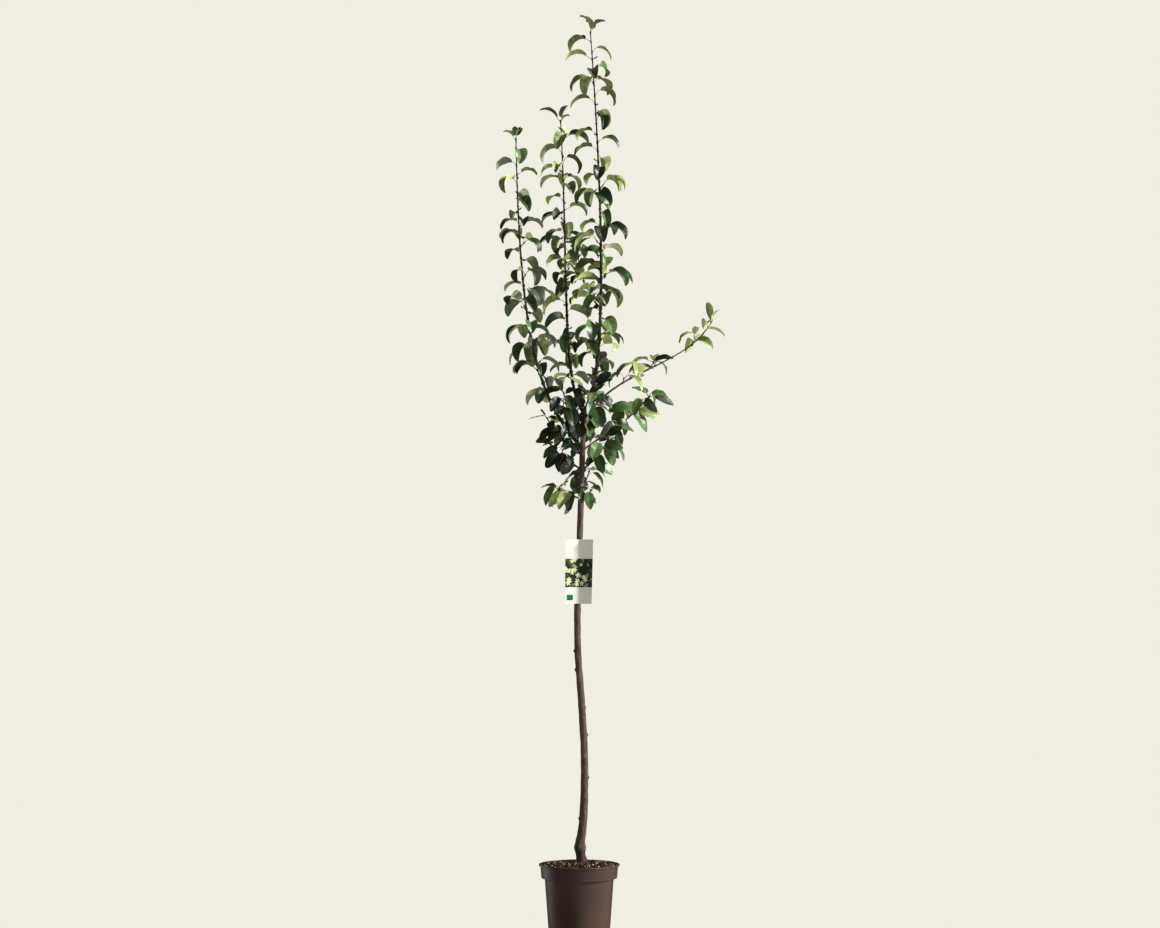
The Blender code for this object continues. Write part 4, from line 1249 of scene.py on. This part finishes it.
def dress_soil():
    """Potting soil: it fills the pot, and its surface bears crumbs, chips and grit."""
    earth = clouded_material("soil_earth", *SOIL_EARTH)[0]
    shape = Shape()
    shape.barrel(soil_rings(), flip=True)
    made = shape.make("soil_surface", [earth], "soil")
    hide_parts("soil")
    dice = random.Random(CRUMB_SEED)
    foot = TRUNK_STATIONS[0]
    crumbs = Shape()
    for _ in range(CRUMBS):
        radius = SOIL_RADIUS * sqrt(dice.random()) * CRUMB_FIELD
        angle = dice.uniform(0.0, tau)
        size = dice.choice(CRUMB_SIZES)
        x, y = radius * cos(angle), radius * sin(angle)
        if (radius + size * CRUMB_MARGIN > SOIL_RADIUS
                or hypot(x - foot[0], y - foot[1]) < TRUNK_MARGIN):
            continue
        kind = dice.choices(range(len(CRUMB_SHARES)), CRUMB_SHARES)[0]
        add_crumb(crumbs, Vector((x, y, soil_height(radius) + size * CRUMB_LIFT)), size, kind, dice)
    chips = [new_material(name, *PLAIN[name])[0] for name in ("bark_chip", "grit")]
    crumbs.make("soil_crumbs", [earth, *chips], "soil")


def add_crumb(shape, centre, size, kind, dice):
    """An irregular crumb, or a flat chip, of a few faces."""
    axis = Vector((dice.uniform(-1.0, 1.0), dice.uniform(-1.0, 1.0), dice.uniform(0.2, 1.0)))
    turn = Matrix.Rotation(dice.uniform(0.0, tau), 3, axis.normalized())
    long, broad, thick = CRUMB_STRETCHES[kind]
    rings = []
    for share, girth in CRUMB_RINGS:
        rings.append([])
        for side in range(CRUMB_SIDES):
            angle = tau * side / CRUMB_SIDES
            point = Vector((share * long, cos(angle) * girth * broad, sin(angle) * girth * thick))
            rings[-1].append(centre + turn @ (point * size * dice.uniform(*CRUMB_JITTER)))
    shape.barrel(rings, kind)


def stamp(cells, centre, reach, inside, angle, slot):
    """Print the cells within reach of a centre that lie inside a motif."""
    for column in range(int(centre[0] - reach), int(centre[0] + reach) + 1):
        for row in range(int(centre[1] - reach), int(centre[1] + reach) + 1):
            x, y = column + 0.5 - centre[0], row + 0.5 - centre[1]
            if (column, row) in cells and inside(x, y, angle, reach):
                cells[column, row] = slot


def in_dab(x, y, angle, length):
    """Whether a place is inside a leaf-shaped dab."""
    cosine, sine = cos(angle), sin(angle)
    along = (x * cosine + y * sine) / length
    across = (y * cosine - x * sine) / (length * DAB_WIDTH)
    return abs(along) < 1.0 and abs(across) < 1.0 - along * along


def in_blossom(x, y, angle, size):
    """Whether a place is inside a blossom of round petals."""
    turn = (atan2(y, x) - angle) % (tau / PETALS) - pi / PETALS
    return hypot(x, y) < size * blend((1.0, cos(turn * PETALS)), PETAL_DEPTH)


def printed_cells():
    """The print of each printed cell of the card's front, worked out from seeded motifs."""
    dice = random.Random(PRINT_SEED)
    cells = {(column, row): GROUND for column in range(CARD_COLUMNS) for row in range(*PANEL_ROWS)}
    for _ in range(DABS):
        place = dice.uniform(0.0, CARD_COLUMNS), dice.uniform(*PANEL_ROWS)
        length = dice.uniform(*DAB_LENGTHS)
        angle = dice.uniform(0.0, pi)
        stamp(cells, place, length, in_dab, angle, dice.choice(DAB_PRINTS))
    for _ in range(BLOSSOMS):
        place = CARD_COLUMNS * dice.random() ** BLOSSOM_LEAN, dice.uniform(*PANEL_ROWS)
        size = dice.uniform(*BLOSSOM_SIZES)
        stamp(cells, place, size, in_blossom, dice.uniform(0.0, 1.0), BLOSSOM)
    for column in range(*PATCH_COLUMNS):
        cells.update({(column, row): PATCH for row in range(*PATCH_ROWS)})
    return cells


def card_drops():
    """How far down the card each row of cells begins, finest on the printed panel."""
    drops = []
    ends = [start for start, _ in CARD_BANDS[1:]] + [LABEL_HEIGHT]
    for (start, count), end in zip(CARD_BANDS, ends):
        drops += [blend((start, end), number / count) for number in range(count)]
    return drops + [LABEL_HEIGHT]


def card_point(column, drop, side, low, high, front):
    """A point of the card, which is softly folded down its middle."""
    half = 0.5 * (high.x - low.x)
    x = -half + 2.0 * half * column / CARD_COLUMNS
    share = drop / LABEL_HEIGHT
    if x > 0.0:
        x *= 1.0 - CARD_TURN * share
    curl = CARD_CURL * sin(pi * share) * (x / half) ** 2
    y = front - tan(LABEL_FOLD) * sqrt(x * x + FOLD_SOFTNESS ** 2) + curl
    return Vector((0.5 * (low.x + high.x) + x, y - side * LABEL_THICKNESS * 0.5, LABEL_TOP - drop))


def card_rim(rows):
    """The corners round the edge of one side of the card."""
    columns = list(zip(*rows))
    return [*rows[0], *columns[-1][1:], *rows[-1][-2::-1], *columns[0][-2:0:-1]]


def dress_label():
    """The care label: a folded card with plain coloured areas, on a strap."""
    low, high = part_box("label")
    strap_height = LABEL_TOP - STRAP_DROP
    axis = trunk_axis(strap_height)
    inner = STRAP_EASE + max(radius for height, radius in trunk_marks()
                             if abs(height - strap_height) < STRAP_HEIGHT)
    outer = inner + STRAP_THICKNESS
    shape = Shape()
    front, back = [
        [shape.add([card_point(column, drop, side, low, high, axis.y - outer)
                    for column in range(CARD_COLUMNS + 1)]) for drop in card_drops()]
        for side in (1.0, -1.0)
    ]
    shape.grid(front, WHITE, closed=False, flip=True)
    for (column, row), slot in printed_cells().items():
        shape.slots[row * CARD_COLUMNS + column] = slot
    shape.grid([row[::-1] for row in back], WHITE, closed=False, flip=True)
    shape.grid([card_rim(front), card_rim(back)], WHITE, flip=True)
    half = STRAP_HEIGHT * 0.5
    strap = [shape.add(ring(STRAP_FINE_STEPS, radius, height, axis))
             for radius, height in ((inner, half), (outer, half), (outer, -half), (inner, -half))]
    shape.grid(strap + strap[:1], WHITE, flip=True)
    prints = [new_material(name, colour, *PRINT_FINISH)[0] for name, colour in PRINT_COLOURS]
    made = shape.make("label_card", prints, "label_card")
    made.data.set_sharp_from_angle(angle=CARD_EDGE_ANGLE)
    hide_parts("label")


def add_floor():
    """A pale, seamless floor that only the camera sees."""
    bpy.ops.mesh.primitive_plane_add(size=FLOOR_SIZE, location=(0.0, 0.0, -FLOOR_DEPTH))
    floor = bpy.context.object
    floor.name = "floor"
    pale = bpy.data.materials.new("floor_pale")
    pale.use_nodes = True
    pale.node_tree.nodes.clear()
    glow = add_node(pale.node_tree, "Emission", Color=(*BACKDROP, 1.0))
    add_node(pale.node_tree, "OutputMaterial", Surface=glow.outputs["Emission"])
    floor.data.materials.append(pale)
    floor.visible_diffuse = False
    floor.visible_glossy = False
    floor.visible_shadow = False


def add_lamp(name, kind, power, source, place=(0.0, 0.0, 0.0)):
    """A lamp at a place, whose light comes from a direction."""
    data = bpy.data.lights.new(name, kind)
    data.energy = power
    lamp = add_object(name, data)
    lamp.location = place
    lamp.rotation_euler = source.to_track_quat("Z", "Y").to_euler()
    return lamp


def studio():
    """A pale seamless floor, soft light and a camera level with the crown's foot."""
    world = bpy.data.worlds.new("pale_studio")
    bpy.context.scene.world = world
    world.use_nodes = True
    tree = world.node_tree
    rays = add_node(tree, "LightPath").outputs
    shine = add_node(tree, "MapRange", Value=rays["Is Glossy Ray"], To_Min=AMBIENT, To_Max=SHINE)
    level = add_node(tree, "MapRange", Value=rays["Is Camera Ray"], To_Min=shine.outputs["Result"])
    backdrop = {"Color": (*BACKDROP, 1.0), "Strength": level.outputs["Result"]}
    feed(tree, tree.nodes["Background"], backdrop)
    add_floor()
    for name, source, strength, softness in SUNS:
        sun = add_lamp(name, "SUN", strength, Vector(source))
        sun.data.angle = radians(softness)
        sun.visible_diffuse = name not in SHINE_ONLY
        sun.visible_glossy = name not in NO_SHINE
    for name, place, target, size, power in LAMPS:
        lamp = add_lamp(name, "AREA", power, Vector(place) - Vector(target), place)
        lamp.data.size = size
    data = bpy.data.cameras.new("camera")
    data.lens = CAMERA_LENS
    data.sensor_width = CAMERA_SENSOR
    camera = add_object("camera", data)
    camera.location = CAMERA_PLACE
    camera.rotation_euler = (radians(90.0), 0.0, 0.0)
    bpy.context.scene.camera = camera
    bpy.context.scene.view_settings.view_transform = "Standard"


def dress():
    """Make every fine piece of the tree."""
    barks = {name: bark_material(name, *look) for name, look in BARKS.items()}
    skins = []
    for name, tint in TINTS.items():
        for side, colour, roughness in zip(("upper", "under"), tint, LEAF_ROUGHNESS):
            skins.append(leaf_material("leaf_%s_%s" % (side, name), colour, roughness))
    skins += [new_material(name, *PLAIN[name])[0] for name in ("leaf_stalk", "leaf_rib")]
    spaces = Spaces()
    dress_trunk(barks["trunk_bark"], barks["collar_bark"])
    for limb in LIMBS:
        bark = barks["young_bark" if "lateral" in limb.name else "twig_bark"]
        if limb.bough:
            dress_bough(limb, bark)
        dress_mass(limb, spaces, skins, bark)
    dress_pot()
    dress_soil()
    dress_label()
    studio()


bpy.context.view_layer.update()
dress()
